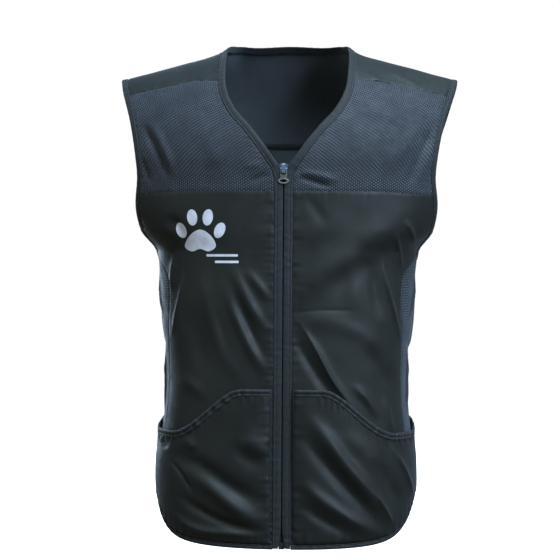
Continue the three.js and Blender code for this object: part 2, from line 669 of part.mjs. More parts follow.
// Shoulder yoke: solid fabric over both shoulders, joined across the upper back.
const shoulderEdge = armStretch(armMark.backYoke, armMark.shoulder + armMark.topSeam).reverse();
const otherShoulderEdge = shoulderEdge.slice().reverse().map(mirror);
const yokeRim = [...shoulderEdge, ...backYokeSeam.slice(1, -1), ...otherShoulderEdge];
const neckRim = neckInner.slice(neckMark.seam, neckInner.length - neckMark.seam);
const CAPE_STEPS = YOKE_STEPS;
function seamRow(seam, t) {
  const position = t * (seam.length - 1);
  const k = Math.min(Math.floor(position), seam.length - 2);
  return seam[k].clone().lerp(seam[k + 1], position - k);
}
const capeGrid = Array.from({ length: CAPE_STEPS + 1 }, (_, j) =>
  neckRim.map((p, i) => {
    const t = j / CAPE_STEPS;
    const last = neckRim.length - 1;
    if (i === 0) return seamRow(topSeam, t);
    if (i === last) return mirror(seamRow(topSeam, t));
    const point = p.clone().lerp(yokeRim[i], t);
    return j === 0 || j === CAPE_STEPS ? point : onBody(point);
  }),
);
add(vest, 'back_yoke', sheet(clearOfNeighbours(capeGrid)), cloth(YOKE_CLOTH));

add(vest, 'neck_binding', band(neckOuter, neckInner, false), cloth(BAND_CLOTH));
add(vest, 'hem_binding', band(hemOuter, hemInner, false), cloth(BAND_CLOTH));

// ---------------------------------------------------------------- pockets
const POCKET_FRONT_X = STRIP_HALF_WIDTH + 2.5;
const pocketEndDeg = 180 - SIDE_SEAM_HEM_DEG - 3;
function pocketTopZ(degrees) {
  const x = aroundBody(Math.min(degrees, 90), POCKET_DIP_Z).x;
  const drop = THREE.MathUtils.smoothstep(x, POCKET_LEVEL_X, POCKET_DIP_X);
  const climb = THREE.MathUtils.smoothstep(degrees, 74, pocketEndDeg);
  return lerp(POCKET_TOP_Z, POCKET_DIP_Z, drop) + POCKET_BACK_RISE * climb;
}
const pocketStartDeg = angleAtX(POCKET_FRONT_X, POCKET_TOP_Z);
const POCKET_COLUMNS = HEM_STEPS.front + HEM_STEPS.side;
const pocketAngle = (k) => lerp(pocketStartDeg, pocketEndDeg, k / POCKET_COLUMNS);
const pocketOuter = Array.from({ length: POCKET_COLUMNS + 1 }, (_, k) => {
  const degrees = pocketAngle(k);
  return aroundBody(degrees, pocketTopZ(degrees));
});
const pocketInner = beside(pocketOuter, POCKET_BAND_WIDTH, -1);
const pocketFoot = Array.from({ length: POCKET_COLUMNS + 1 }, (_, k) => {
  const degrees = pocketAngle(k);
  return aroundBody(degrees, hemZ(degrees) + HEM_BAND_WIDTH + 2);
});
const POCKET_ROWS = 8;
function pocketEdge(k) {
  return Array.from({ length: POCKET_ROWS + 1 }, (_, j) =>
    onBody(pocketFoot[k].clone().lerp(pocketInner[k], j / POCKET_ROWS)),
  );
}
// The pocket hangs fullest towards the front and at its mouth, and lies flat where it is sewn.
function pocketStandOff(u, v) {
  const across = Math.sin(Math.PI * Math.sqrt(u)) ** 0.6 * (1 - u / 2);
  const up = Math.min(1, 1.6 * v) ** 0.7;
  return POCKET_SEWN_OFFSET + POCKET_FULLNESS * across * up;
}

const pocketBandLift = (k) => pocketStandOff(k / POCKET_COLUMNS, 1) + 0.4;

sides.forEach(([side, place, line]) => {
  const grid = patch(
    pocketFoot.map((p) => p.clone()),
    pocketInner.map((p) => p.clone()),
    pocketEdge(0),
    pocketEdge(POCKET_COLUMNS),
  );
  const bag = sheet(place(clearOfNeighbours(grid)), FABRIC, pocketStandOff);
  const lip = band(line(pocketOuter), line(pocketInner), false, pocketBandLift);
  add(vest, `pocket_${side}`, bag, cloth(SOFTSHELL));
  add(vest, `pocket_binding_${side}`, lip, cloth(BAND_CLOTH));
});

// ---------------------------------------------------------------- zip
// Everything on the zip is built in its own leaning frame: x across, +z up the zip, +y into the vest.
const zipLean = Math.atan(frontLean);
const ZIP_LENGTH = (ZIP_TOP_Z - HEM_Z) / Math.cos(zipLean);
const zip = new THREE.Group();
zip.position.set(0, -frontDepth(ZIP_TOP_Z), ZIP_TOP_Z);
zip.rotation.x = zipLean;
vest.add(zip);

const stripBack = STRIP_THICKNESS / 2;
const plateFront = stripBack + FIT;
const tapeFront = plateFront + PLATE + FIT;
const coilFront = tapeFront + TAPE_THICKNESS + FIT;
const coilBack = coilFront + COIL_DEPTH;
const backPlateFront = coilBack + FIT;
const coilInnerX = STRIP_PARTING;
const coilOuterX = coilInnerX + COIL_WIDTH;

// A block between two corners, as a solid.
function block(x0, x1, y0, y1, z0, z1) {
  const box = new THREE.BoxGeometry(x1 - x0, y1 - y0, z1 - z0);
  return toSolid(box.translate((x0 + x1) / 2, (y0 + y1) / 2, (z0 + z1) / 2));
}

// A flat plate seen from the front: its outline in x and z, from y0 to y1, with a small bevel.
function plate(shape, y0, y1, bevel = 0, curveSegments = 8) {
  const geometry = new THREE.ExtrudeGeometry(shape, {
    depth: y1 - y0 - 2 * bevel,
    bevelEnabled: bevel > 0,
    bevelThickness: bevel,
    bevelSize: bevel,
    bevelOffset: -bevel,
    bevelSegments: 2,
    curveSegments,
  });
  geometry.rotateX(Math.PI / 2);
  return geometry.translate(0, y1 - bevel, 0);
}

// Facing: follows the zip, opens at the top around the slider and at the bottom over the retainer.
function facingOutline() {
  const shape = new THREE.Shape();
  const foot = -ZIP_LENGTH + 1;
  const mitre = stripTopZ - ZIP_TOP_Z;
  const steps = 6;
  shape.moveTo(STRIP_TOP_PARTING, -1.2);
  for (let k = 1; k <= steps; k += 1) {
    const t = k / steps;
    const x = lerp(STRIP_TOP_PARTING, STRIP_PARTING, 1 - (1 - t) ** 2);
    shape.lineTo(x, -1.2 - (STRIP_TOP_FLARE - 1.2) * t);
  }
  for (let k = 0; k <= steps; k += 1) {
    const t = k / steps;
    shape.lineTo(lerp(STRIP_PARTING, STRIP_BOTTOM_PARTING, t ** 1.2), foot + STRIP_BOTTOM_FLARE * (1 - t));
  }
  shape.lineTo(STRIP_HALF_WIDTH, foot);
  for (let k = 0; k <= steps; k += 1) {
    const z = lerp(mitre - 14, mitre, k / steps);
    shape.lineTo(stripOuterX(z + ZIP_TOP_Z), z);
  }
  return shape;
}

function mirrored(geometry, flip) {
  const copy = geometry.clone();
  if (!flip) return copy;
  copy.scale(-1, 1, 1);
  const count = copy.getAttribute('position').count;
  const index = copy.index ? Array.from(copy.index.array) : [...Array(count).keys()];
  copy.setIndex(index.reverse());
  copy.computeVertexNormals();
  return copy;
}

const facing = plate(facingOutline(), -stripBack, stripBack);
const tapeBack = tapeFront + TAPE_THICKNESS;
const tapeFoot = -ZIP_LENGTH + RETAINER_HEIGHT + FIT;
const tape = toGeometry(
  block(coilInnerX, coilInnerX + TAPE_WIDTH, tapeFront, tapeBack, tapeFoot, -TAPE_TOP_DROP),
);
const pinTop = -ZIP_LENGTH + PIN_LENGTH;
const coilTop = -TOP_STOP_LENGTH - FIT;

// Coil: its outer shape, a flattened round bar.
function coilBar() {
  const shape = new THREE.Shape();
  const halfWidth = COIL_WIDTH / 2;
  const halfDepth = COIL_DEPTH / 2;
  shape.absellipse(coilInnerX + halfWidth, -(coilFront + halfDepth), halfWidth, halfDepth, 0, 2 * Math.PI);
  const length = coilTop - pinTop - FIT;
  const bar = new THREE.ExtrudeGeometry(shape, { depth: length, bevelEnabled: false, curveSegments: 6 });
  bar.scale(1, -1, 1);
  const index = [...Array(bar.getAttribute('position').count).keys()].reverse();
  bar.setIndex(index);
  return bar.translate(0, 0, pinTop + FIT);
}

const pin = toGeometry(
  block(
    coilInnerX + PIN_INSET,
    coilOuterX - PIN_INSET,
    coilFront + PIN_INSET,
    coilBack - PIN_INSET,
    -ZIP_LENGTH + PIN_FOOT,
    pinTop,
  ),
);
const topStop = toGeometry(
  block(coilInnerX, coilOuterX, coilFront, coilBack, -TOP_STOP_LENGTH, TOP_STOP_RISE),
);

[
  ['left', false],
  ['right', true],
].forEach(([side, flip]) => {
  add(zip, `front_facing_${side}`, mirrored(facing, flip), cloth(STRIP_CLOTH));
  add(zip, `zip_tape_${side}`, mirrored(tape, flip), cloth(TAPE_CLOTH, 0.85));
  add(zip, `zip_coil_${side}`, mirrored(coilBar(), flip), cloth(COIL_NYLON, 0.4));
  add(zip, `zip_top_stop_${side}`, mirrored(topStop, flip), metal(PEWTER));
});
add(zip, 'zip_box_pin', mirrored(pin, false), metal(PEWTER));
add(zip, 'zip_insertion_pin', mirrored(pin, true), metal(PEWTER));

function roundedRect(width, tall, radius) {
  const shape = new THREE.Shape();
  const x = width / 2;
  const z = tall / 2;
  shape.moveTo(-x + radius, -z);
  shape.lineTo(x - radius, -z);
  shape.absarc(x - radius, -z + radius, radius, -Math.PI / 2, 0);
  shape.lineTo(x, z - radius);
  shape.absarc(x - radius, z - radius, radius, 0, Math.PI / 2);
  shape.lineTo(-x + radius, z);
  shape.absarc(-x + radius, z - radius, radius, Math.PI / 2, Math.PI);
  shape.lineTo(-x, -z + radius);
  shape.absarc(-x + radius, -z + radius, radius, Math.PI, 1.5 * Math.PI);
  return shape;
}

// Retainer box: takes both pins, open at the top.
const retainerOutline = roundedRect(RETAINER_WIDTH, RETAINER_HEIGHT, 1);
const retainerZ = -ZIP_LENGTH + RETAINER_HEIGHT / 2;
const retainerBack = coilBack + RETAINER_BACK_WALL;
const retainerPlate = plate(retainerOutline, plateFront, retainerBack, FULL_BEVEL);
const retainerBody = toSolid(retainerPlate.translate(0, 0, retainerZ));
const pinHole = (sign) => {
  const near = coilInnerX + PIN_INSET - FIT;
  const far = coilOuterX - PIN_INSET + FIT;
  const [x0, x1] = sign > 0 ? [near, far] : [-far, -near];
  const front = coilFront + PIN_INSET - FIT;
  const back = coilBack - PIN_INSET + FIT;
  return block(x0, x1, front, back, -ZIP_LENGTH + RETAINER_FLOOR, -ZIP_LENGTH + 20);
};
const retainer = retainerBody.subtract(pinHole(1)).subtract(pinHole(-1));
add(zip, 'zip_retainer_box', toGeometry(retainer), cloth(COIL_NYLON, 0.35));

// Slider body: two plates joined by the post between the coils, with flanges round the coils
// and two feet that pass between the facings to carry the cap.
const sliderTop = SLIDER_MOUTH;
const sliderFoot = sliderTop - SLIDER_LENGTH;
const neckHalfX = STRIP_PARTING - FIT;
function sliderOutline() {
  const wide = SLIDER_WIDTH / 2;
  const narrow = wide - 0.9;
  const shape = new THREE.Shape();
  shape.moveTo(-narrow + 1, sliderFoot);
  shape.lineTo(narrow - 1, sliderFoot);
  shape.quadraticCurveTo(narrow, sliderFoot, narrow, sliderFoot + 1.2);
  shape.lineTo(narrow, sliderFoot + 4);
  shape.quadraticCurveTo(wide, sliderTop - 5, wide, sliderTop - 2.6);
  shape.quadraticCurveTo(wide, sliderTop - 0.9, wide - 1.6, sliderTop - 0.7);
  shape.lineTo(1.6, sliderTop - 0.2);
  shape.quadraticCurveTo(0, sliderTop + 0.1, -1.6, sliderTop - 0.2);
  shape.lineTo(-wide + 1.6, sliderTop - 0.7);
  shape.quadraticCurveTo(-wide, sliderTop - 0.9, -wide, sliderTop - 2.6);
  shape.quadraticCurveTo(-wide, sliderTop - 5, -narrow, sliderFoot + 4);
  shape.lineTo(-narrow, sliderFoot + 1.2);
  shape.quadraticCurveTo(-narrow, sliderFoot, -narrow + 1, sliderFoot);
  return shape;
}
const flangeInnerX = coilOuterX + FIT;
const flangeOuterX = flangeInnerX + FLANGE;
const flange = (sign) => {
  const [x0, x1] = sign > 0 ? [flangeInnerX, flangeOuterX] : [-flangeOuterX, -flangeInnerX];
  return block(x0, x1, coilFront, backPlateFront + WELD, sliderFoot + 0.5, sliderTop - 2);
};
const capUnder = -(stripBack + 2 * BAIL_RADIUS + 1.1); // level of the cap's underside
const footTop = capUnder + FIT;
const footWide = CAP_WIDTH / 2 - 0.5;
const foot = (z0, z1) =>
  block(-neckHalfX, neckHalfX, -stripBack - 0.4, plateFront + WELD, z0, z1).add(
    block(-footWide, footWide, footTop, -stripBack - FIT, z0, z1),
  );
const upperFoot = [sliderTop - 3.2, sliderTop - 0.9];
const lowerFoot = [sliderFoot + 0.8, sliderFoot + 2.4];
const postFront = plateFront + PLATE - WELD;
const postBack = backPlateFront + WELD;
const sliderPost = block(-neckHalfX, neckHalfX, postFront, postBack, sliderTop - 6, sliderTop - 1);
const sliderSolid = toSolid(plate(sliderOutline(), plateFront, plateFront + PLATE, SLIM_BEVEL, 5))
  .add(toSolid(plate(sliderOutline(), backPlateFront, backPlateFront + PLATE, SLIM_BEVEL, 5)))
  .add(sliderPost)
  .add(flange(1))
  .add(flange(-1))
  .add(foot(...upperFoot))
  .add(foot(...lowerFoot));
add(zip, 'slider_body', toGeometry(sliderSolid), metal(SLIDER_STEEL));

// Cap: an arched bar over the feet, hollow underneath for the lock spring.
const capTop = capUnder - CAP_THICKNESS;
function capOutline() {
  const shape = new THREE.Shape();
  const top = sliderTop - 0.1;
  const low = sliderFoot - 0.3;
  shape.moveTo(top, -capUnder);
  shape.lineTo(low, -capUnder);
  shape.quadraticCurveTo(low - 0.1, -capTop, low + 2.4, -capTop);
  shape.lineTo(top - 2.6, -capTop);
  shape.quadraticCurveTo(top, -capTop, top, -capUnder);
  return shape;
}
function sideExtrusion(shape, width, bevel) {
  const geometry = new THREE.ExtrudeGeometry(shape, {
    depth: width - 2 * bevel,
    bevelEnabled: bevel > 0,
    bevelThickness: bevel,
    bevelSize: bevel,
    bevelOffset: -bevel,
    bevelSegments: 2,
    curveSegments: 6,
  });
  // outline x is up the zip, outline y is out of the vest
  const basis = new THREE.Matrix4().makeBasis(vec(0, 0, 1), vec(0, -1, 0), vec(1, 0, 0));
  geometry.applyMatrix4(basis);
  return geometry.translate(-width / 2 + bevel, 0, 0);
}
const capHollow = block(-1.5, 1.5, capUnder - 1.1, capUnder + 0.5, sliderFoot + 1, sliderTop - 1.2);
const cap = toSolid(sideExtrusion(capOutline(), CAP_WIDTH, FULL_BEVEL)).subtract(capHollow);
add(zip, 'slider_cap', toGeometry(cap), metal(SLIDER_STEEL));
add(
  zip,
  'lock_spring',
  toGeometry(block(-1.1, 1.1, capUnder - 0.8, capUnder - 0.5, sliderFoot + 1.4, sliderTop - 1.6)),
  metal(PEWTER, 0.3),
);

// Puller: bail bar through the slider's window, two arms, a solid waist and an oval ring.
const bailZ = (sliderTop + sliderFoot) / 2 - 0.2;
const bailY = -(stripBack + BAIL_RADIUS + 0.7);
const armOuterX = PULLER_WIDTH / 2;
const armInnerX = armOuterX - PULLER_ARM;
const windowEnd = 7.4; // the window clears the ends of the cap all the way round
const ringZ = bailZ - PULLER_REACH + RING_HEIGHT / 2;
function pullerOutline() {
  const shape = new THREE.Shape();
  const neck = armOuterX - 0.4;
  shape.moveTo(-armOuterX, bailZ);
  shape.lineTo(-armOuterX, bailZ - windowEnd - 1);
  shape.quadraticCurveTo(-neck, bailZ - windowEnd - 2.6, -armOuterX, ringZ + 1.4);
  shape.lineTo(armOuterX, ringZ + 1.4);
  shape.quadraticCurveTo(neck, bailZ - windowEnd - 2.6, armOuterX, bailZ - windowEnd - 1);
  shape.lineTo(armOuterX, bailZ);
  shape.lineTo(-armOuterX, bailZ);
  return shape;
}
function oval(width, tall) {
  const shape = new THREE.Shape();
  shape.absellipse(0, ringZ, width / 2, tall / 2, 0, 2 * Math.PI);
  return shape;
}
const pullerY = [bailY - PULLER_THICKNESS / 2, bailY + PULLER_THICKNESS / 2];
const ringHole = [RING_WIDTH - 2 * RING_WIRE, RING_HEIGHT - 2 * RING_WIRE];
const bail = new THREE.CylinderGeometry(BAIL_RADIUS, BAIL_RADIUS, PULLER_WIDTH, 16);
bail.rotateZ(Math.PI / 2);
bail.translate(0, bailY, bailZ);
const pullerSolid = toSolid(plate(pullerOutline(), ...pullerY, SLIM_BEVEL, 6))
  .add(toSolid(plate(oval(RING_WIDTH, RING_HEIGHT), ...pullerY, FULL_BEVEL, 14)))
  .subtract(toSolid(plate(oval(...ringHole), pullerY[0] - 1, pullerY[1] + 1, 0, 14)))
  .subtract(block(-armInnerX, armInnerX, pullerY[0] - 1, pullerY[1] + 1, bailZ - windowEnd, bailZ + 1))
  .add(toSolid(bail));
add(zip, 'puller', toGeometry(pullerSolid), metal(PEWTER));

// ---------------------------------------------------------------- reflective emblem
// Film pieces on the wearer's right chest: a paw print over two short rules.
function film(outline) {
  const points = outline.map(([x, z]) => onFront(EMBLEM_X + x, EMBLEM_Z + z));
  const triangles = THREE.ShapeUtils.triangulateShape(outline.map(([x, z]) => new THREE.Vector2(x, z)), []);
  const level = (side) => FILM_LIFT + (side * FILM_THICKNESS) / 2;
  const lifted = (side) => points.map((p) => p.clone().addScaledVector(outward(p), level(side)));
  const layers = [...lifted(1), ...lifted(-1)];
  const count = points.length;
  const index = [];
  triangles.forEach(([a, b, c]) => index.push(a, b, c, count + a, count + c, count + b));
  const forward = triangles.some((t) => [0, 1, 2].some((k) => t[k] === 0 && t[(k + 1) % 3] === 1));
  for (let k = 0; k < count; k += 1) {
    const next = (k + 1) % count;
    const [a, b] = forward ? [next, k] : [k, next];
    index.push(a, b, count + b, a, count + b, count + a);
  }
  return solid(layers.flatMap((p) => [p.x, p.y, p.z]), index);
}
function ovalOutline(x, z, across, tall, tilt, count = 18) {
  return Array.from({ length: count }, (_, k) => {
    const angle = (2 * Math.PI * k) / count;
    const [a, b] = [(across / 2) * Math.cos(angle), (tall / 2) * Math.sin(angle)];
    return [x + a * Math.cos(tilt) - b * Math.sin(tilt), z + a * Math.sin(tilt) + b * Math.cos(tilt)];
  });
}
const pawScale = EMBLEM_WIDTH / 66;
// outlines in millimetres from the emblem's centre: x across, z up
const PAD_POINTS = [
  [0, 2],
  [14, -6],
  [20, -19],
  [11, -25],
  [0, -22],
  [-11, -25],
  [-20, -19],
  [-14, -6],
];
const padCurve = new THREE.CatmullRomCurve3(PAD_POINTS.map(([x, z]) => vec(x, 0, z)), true);
const padOutline = padCurve
  .getSpacedPoints(28)
  .slice(0, -1)
  .map((p) => [p.x * pawScale, p.z * pawScale]);
add(vest, 'emblem_pad', film(padOutline), cloth(REFLECTIVE, 0.35));
[
  [-25, 1, 0.42],
  [-10, 17, 0.14],
  [10, 17, -0.14],
  [25, 1, -0.42],
].forEach(([x, z, tilt], k) => {
  const toe = ovalOutline(x * pawScale, z * pawScale, 13 * pawScale, 20 * pawScale, tilt);
  add(vest, `emblem_toe_${k + 1}`, film(toe), cloth(REFLECTIVE, 0.35));
});
[
  [28, -30, 40],
  [34, -38, 30],
].forEach(([x, z, length], k) => {
  const rule = [
    [x - length / 2, z - 1.5],
    [x, z - 1.5],
    [x + length / 2, z - 1.5],
    [x + length / 2, z + 1.5],
    [x, z + 1.5],
    [x - length / 2, z + 1.5],
  ];
  add(vest, `emblem_rule_${k + 1}`, film(rule), cloth(REFLECTIVE, 0.35));
});

export default vest;
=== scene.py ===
"""Sleeveless training vest: cloth, bound edges, zip and emblem, made over the vest's frame."""

import math

import bmesh
import bpy
import numpy as np
from mathutils import Matrix, Vector, geometry


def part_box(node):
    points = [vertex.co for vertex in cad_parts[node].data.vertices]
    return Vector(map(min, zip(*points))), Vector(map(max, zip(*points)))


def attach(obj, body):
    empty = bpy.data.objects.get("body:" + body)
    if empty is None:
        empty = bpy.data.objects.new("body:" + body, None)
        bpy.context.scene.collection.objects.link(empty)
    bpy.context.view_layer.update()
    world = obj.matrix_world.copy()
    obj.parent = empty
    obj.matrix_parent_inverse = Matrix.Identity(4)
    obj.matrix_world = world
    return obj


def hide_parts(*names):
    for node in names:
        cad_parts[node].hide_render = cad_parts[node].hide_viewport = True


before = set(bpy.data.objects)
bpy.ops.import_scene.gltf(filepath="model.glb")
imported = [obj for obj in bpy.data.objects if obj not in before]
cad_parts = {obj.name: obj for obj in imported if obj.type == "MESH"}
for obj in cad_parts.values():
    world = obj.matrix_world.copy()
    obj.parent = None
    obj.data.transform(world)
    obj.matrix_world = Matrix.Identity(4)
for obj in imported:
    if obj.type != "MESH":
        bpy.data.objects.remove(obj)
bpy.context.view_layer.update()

bl_info = {
    "name": "Training Vest",
    "version": (1, 0, 0),
    "blender": (4, 5, 0),
    "location": "3D View > Sidebar > Vest",
    "description": "Makes the cloth, bound edges, zip and emblem of a training vest over its frame",
    "category": "Object",
}

# ------------------------------------------------------------------ the vest's own sizes, in metres
MM = 0.001
NECK_HALF_WIDTH = 75 * MM
SHOULDER_HALF_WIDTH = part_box("armhole_binding_left")[1].x
SHOULDER_SLOPE = math.tan(math.radians(15))
NECK_RISE = 11 * MM
NECK_ROUNDING = 25 * MM
CHEST_Z = -131 * MM
ZIP_TOP_Z = -136 * MM
YOKE_SEAM_Z = -168 * MM
BACK_YOKE_SEAM_Z = -95 * MM
UNDERARM_Z = -243 * MM
WAIST_Z = -405 * MM
HIP_Z = -540 * MM
HEM_Z = -611 * MM
UNDERARM_HALF_WIDTH = 168 * MM
WAIST_HALF_WIDTH = 155 * MM
HIP_HALF_WIDTH = 166 * MM
CHEST_HALF_WIDTH = SHOULDER_HALF_WIDTH - 3 * MM
CAP_HALF_WIDTH = SHOULDER_HALF_WIDTH + 16 * MM
FRONT_DEPTH_CHEST = 118 * MM
FRONT_DEPTH_HEM = 111 * MM
BACK_DEPTH_CHEST = 116 * MM
BACK_DEPTH_WAIST = 98 * MM
BACK_DEPTH_HEM = 113 * MM
SECTION_POWER = 2.4
FRONT_ROOF_POWER = 1.6
BACK_ROOF_POWER = 2.5
NECK_BAND = 9 * MM
ARM_BAND = 7.5 * MM
HEM_BAND = 5.5 * MM
POCKET_BAND = 8 * MM
FACING_HALF_WIDTH = 10.8 * MM
SIDE_SEAM_HEM_DEG = 70

SHOULDER_REST_X = (NECK_HALF_WIDTH + SHOULDER_HALF_WIDTH) / 2


def mix(a, b, t):
    return a + (b - a) * t


def smooth(t):
    t = np.clip(t, 0, 1)
    return t * t * (3 - 2 * t)


# ------------------------------------------------------------------ the surface the cloth lies on
def graded(pairs):
    """Smooth function through (height, value) pairs that never overshoots between them."""
    heights, values = np.array(pairs, float).T
    slopes = np.diff(values) / np.diff(heights)
    slopes = np.concatenate([[0], slopes, [0]])
    product = slopes[:-1] * slopes[1:]
    total = np.where(product > 0, slopes[:-1] + slopes[1:], 1)
    tangents = np.where(product > 0, 2 * product / total, 0)

    def value(z):
        z = np.clip(z, heights[0], heights[-1])
        k = np.clip(np.searchsorted(heights, z, side="right") - 1, 0, len(heights) - 2)
        step = heights[k + 1] - heights[k]
        t = (z - heights[k]) / step
        keep = (1 + 2 * t) * (1 - t) ** 2
        bend = t * (1 - t) ** 2 * tangents[k] - t * t * (1 - t) * tangents[k + 1]
        return keep * values[k] + (1 - keep) * values[k + 1] + step * bend

    return value


half_width = graded(
    [
        (HIP_Z, HIP_HALF_WIDTH),
        ((HIP_Z + WAIST_Z) / 2, (HIP_HALF_WIDTH + WAIST_HALF_WIDTH) / 2),
        (WAIST_Z, WAIST_HALF_WIDTH),
        ((WAIST_Z + UNDERARM_Z) / 2, (WAIST_HALF_WIDTH + UNDERARM_HALF_WIDTH) / 2),
        (UNDERARM_Z, UNDERARM_HALF_WIDTH),
        (UNDERARM_Z + 29 * MM, mix(UNDERARM_HALF_WIDTH, CHEST_HALF_WIDTH, 0.55)),
        (UNDERARM_Z + 61 * MM, mix(UNDERARM_HALF_WIDTH, CHEST_HALF_WIDTH, 0.83)),
        (CHEST_Z, CHEST_HALF_WIDTH),
        (0, CAP_HALF_WIDTH),
    ]
)
back_depth = graded(
    [
        (HEM_Z, BACK_DEPTH_HEM),
        (HIP_Z, BACK_DEPTH_HEM),
        (WAIST_Z, BACK_DEPTH_WAIST),
        (UNDERARM_Z, (BACK_DEPTH_WAIST + BACK_DEPTH_CHEST) / 2 + 3 * MM),
        (CHEST_Z, BACK_DEPTH_CHEST),
    ]
)
FRONT_LEAN = (FRONT_DEPTH_CHEST - FRONT_DEPTH_HEM) / (CHEST_Z - HEM_Z)


def front_depth(z):
    return FRONT_DEPTH_CHEST + FRONT_LEAN * (np.minimum(z, CHEST_Z) - CHEST_Z)


def shoulder_line(x):
    past = np.maximum(np.abs(x) - NECK_HALF_WIDTH + 15 * MM, 0) / (22 * MM)
    slope = (SHOULDER_REST_X - np.hypot(x, NECK_ROUNDING)) * SHOULDER_SLOPE
    return slope + NECK_RISE * np.exp(-past * past)


def body_level(p):
    """Zero on the cloth's middle surface and negative inside it."""
    x, y, z = p[..., 0], p[..., 1], p[..., 2]
    front = y < 0
    depth = np.where(front, front_depth(z), back_depth(z))
    across = (np.abs(x) / half_width(z)) ** SECTION_POWER
    trunk = across + (np.abs(y) / depth) ** SECTION_POWER - 1
    power = np.where(front, FRONT_ROOF_POWER, BACK_ROOF_POWER)
    rise = np.maximum(z - CHEST_Z, 0) / (shoulder_line(x) - CHEST_Z)
    reach = depth * np.maximum(1 - across, 1e-3) ** (1 / SECTION_POWER)
    roof = rise**power + (np.abs(y) / reach) ** power - 1
    return np.where(z <= CHEST_Z, trunk, roof)


def body_slope(p):
    step = 0.4 * MM
    slope = np.empty_like(p)
    for axis in range(3):
        nudge = np.zeros(3)
        nudge[axis] = step
        slope[..., axis] = (body_level(p + nudge) - body_level(p - nudge)) / (2 * step)
    return slope


def unit(v):
    return v / np.maximum(np.linalg.norm(v, axis=-1, keepdims=True), 1e-12)


def outward(p):
    return unit(body_slope(p))


def on_body(p):
    p = np.array(p, float)
    for _ in range(9):
        slope = body_slope(p)
        size = np.linalg.norm(slope, axis=-1, keepdims=True)
        move = np.clip(-body_level(p)[..., None] / size, -12 * MM, 12 * MM)
        p = p + move * slope / size
    return p


def around_body(degrees, z):
    """Points of level sections, with 0 degrees at centre front and 90 at the wearer's left."""
    angle = np.radians(degrees)
    sine = np.sign(np.sin(angle)) * np.abs(np.sin(angle)) ** (2 / SECTION_POWER)
    cosine = np.abs(np.cos(angle)) ** (2 / SECTION_POWER)
    y = np.where(np.cos(angle) > 0, -front_depth(z) * cosine, back_depth(z) * cosine)
    return np.stack([half_width(z) * sine, y, z + 0 * y], axis=-1)


def on_front(x, z):
    across = (np.abs(x) / half_width(z)) ** SECTION_POWER
    y = -front_depth(z) * np.maximum(1 - across, 0) ** (1 / SECTION_POWER)
    return np.stack(np.broadcast_arrays(x, y, z), axis=-1)


# ------------------------------------------------------------------ lines
def through(points, closed=False, steps=40):
    """Smooth line through a few points."""
    p = np.array(points, float)
    if closed:
        p = np.vstack([p[-1], p, p[:2]])
    else:
        p = np.vstack([2 * p[0] - p[1], p, 2 * p[-1] - p[-2]])
    t = np.linspace(0, 1, steps, endpoint=False)[:, None]
    spans = []
    for a, b, c, d in zip(p, p[1:], p[2:], p[3:]):
        ab, bc, cd = (max(np.linalg.norm(v), 1e-9) ** 0.5 for v in (b - a, c - b, d - c))
        leave = ((b - a) / ab - (c - a) / (ab + bc) + (c - b) / bc) * bc
        arrive = ((c - b) / bc - (d - b) / (bc + cd) + (d - c) / cd) * bc
        keep = 2 * t**3 - 3 * t**2 + 1
        bend = (t**3 - 2 * t**2 + t) * leave + (t**3 - t**2) * arrive
        spans.append(keep * b + (1 - keep) * c + bend)
    return np.vstack(spans + [p[-2][None]])


def lengths(points):
    return np.concatenate([[0], np.cumsum(np.linalg.norm(np.diff(points, axis=0), axis=1))])


def at_runs(points, run, want):
    """Values of a line's points at distances along it."""
    return np.stack([np.interp(want, run, points[:, k]) for k in range(points.shape[1])], axis=-1)


def evenly(points, count):
    """The same line with its points spread evenly."""
    run = lengths(points)
    want = np.linspace(0, run[-1], count)
    return at_runs(points, run, want)


def beside(points, distance, closed=False):
    """Line on the body at a distance from another, to the left of its run seen from outside."""
    if closed:
        along = unit(np.roll(points, -1, axis=0) - np.roll(points, 1, axis=0))
    else:
        along = unit(np.gradient(points, axis=0))
    return on_body(points + distance * unit(np.cross(outward(points), along)))


def mirror(points):
    return points * np.array([-1, 1, 1])


def handed(points, right):
    """Points made for the wearer's left, for either side."""
    return mirror(points) if right else points


def first_crossing(values, level):
    start = values[0] - level
    return int(np.argmax((values - level) * start <= 0))


ARM_SHARES = [(0.86, -28, -42), (0.62, -53, -78), (0.46, -66, -118), (0.42, -67, -150)]
ARM_SHARES += [(0.5, -58, -182), (0.38, -44, -214), (0.08, -24, -237)]


def armhole():
    """Free edge of the left armhole, from the shoulder tip down the front and up the back."""
    tip = (SHOULDER_HALF_WIDTH, 0, float(shoulder_line(np.array(SHOULDER_HALF_WIDTH))))
    widths = [mix(UNDERARM_HALF_WIDTH, SHOULDER_HALF_WIDTH, share) for share, _, _ in ARM_SHARES]
    front = [(x, y * MM, z * MM) for x, (_, y, z) in zip(widths, ARM_SHARES)]
    back = [(x, -y, z) for x, y, z in reversed(front)]
    points = on_body([tip, *front, (UNDERARM_HALF_WIDTH, 0, UNDERARM_Z), *back])
    return on_body(evenly(through(points, closed=True), 1201))[:-1]


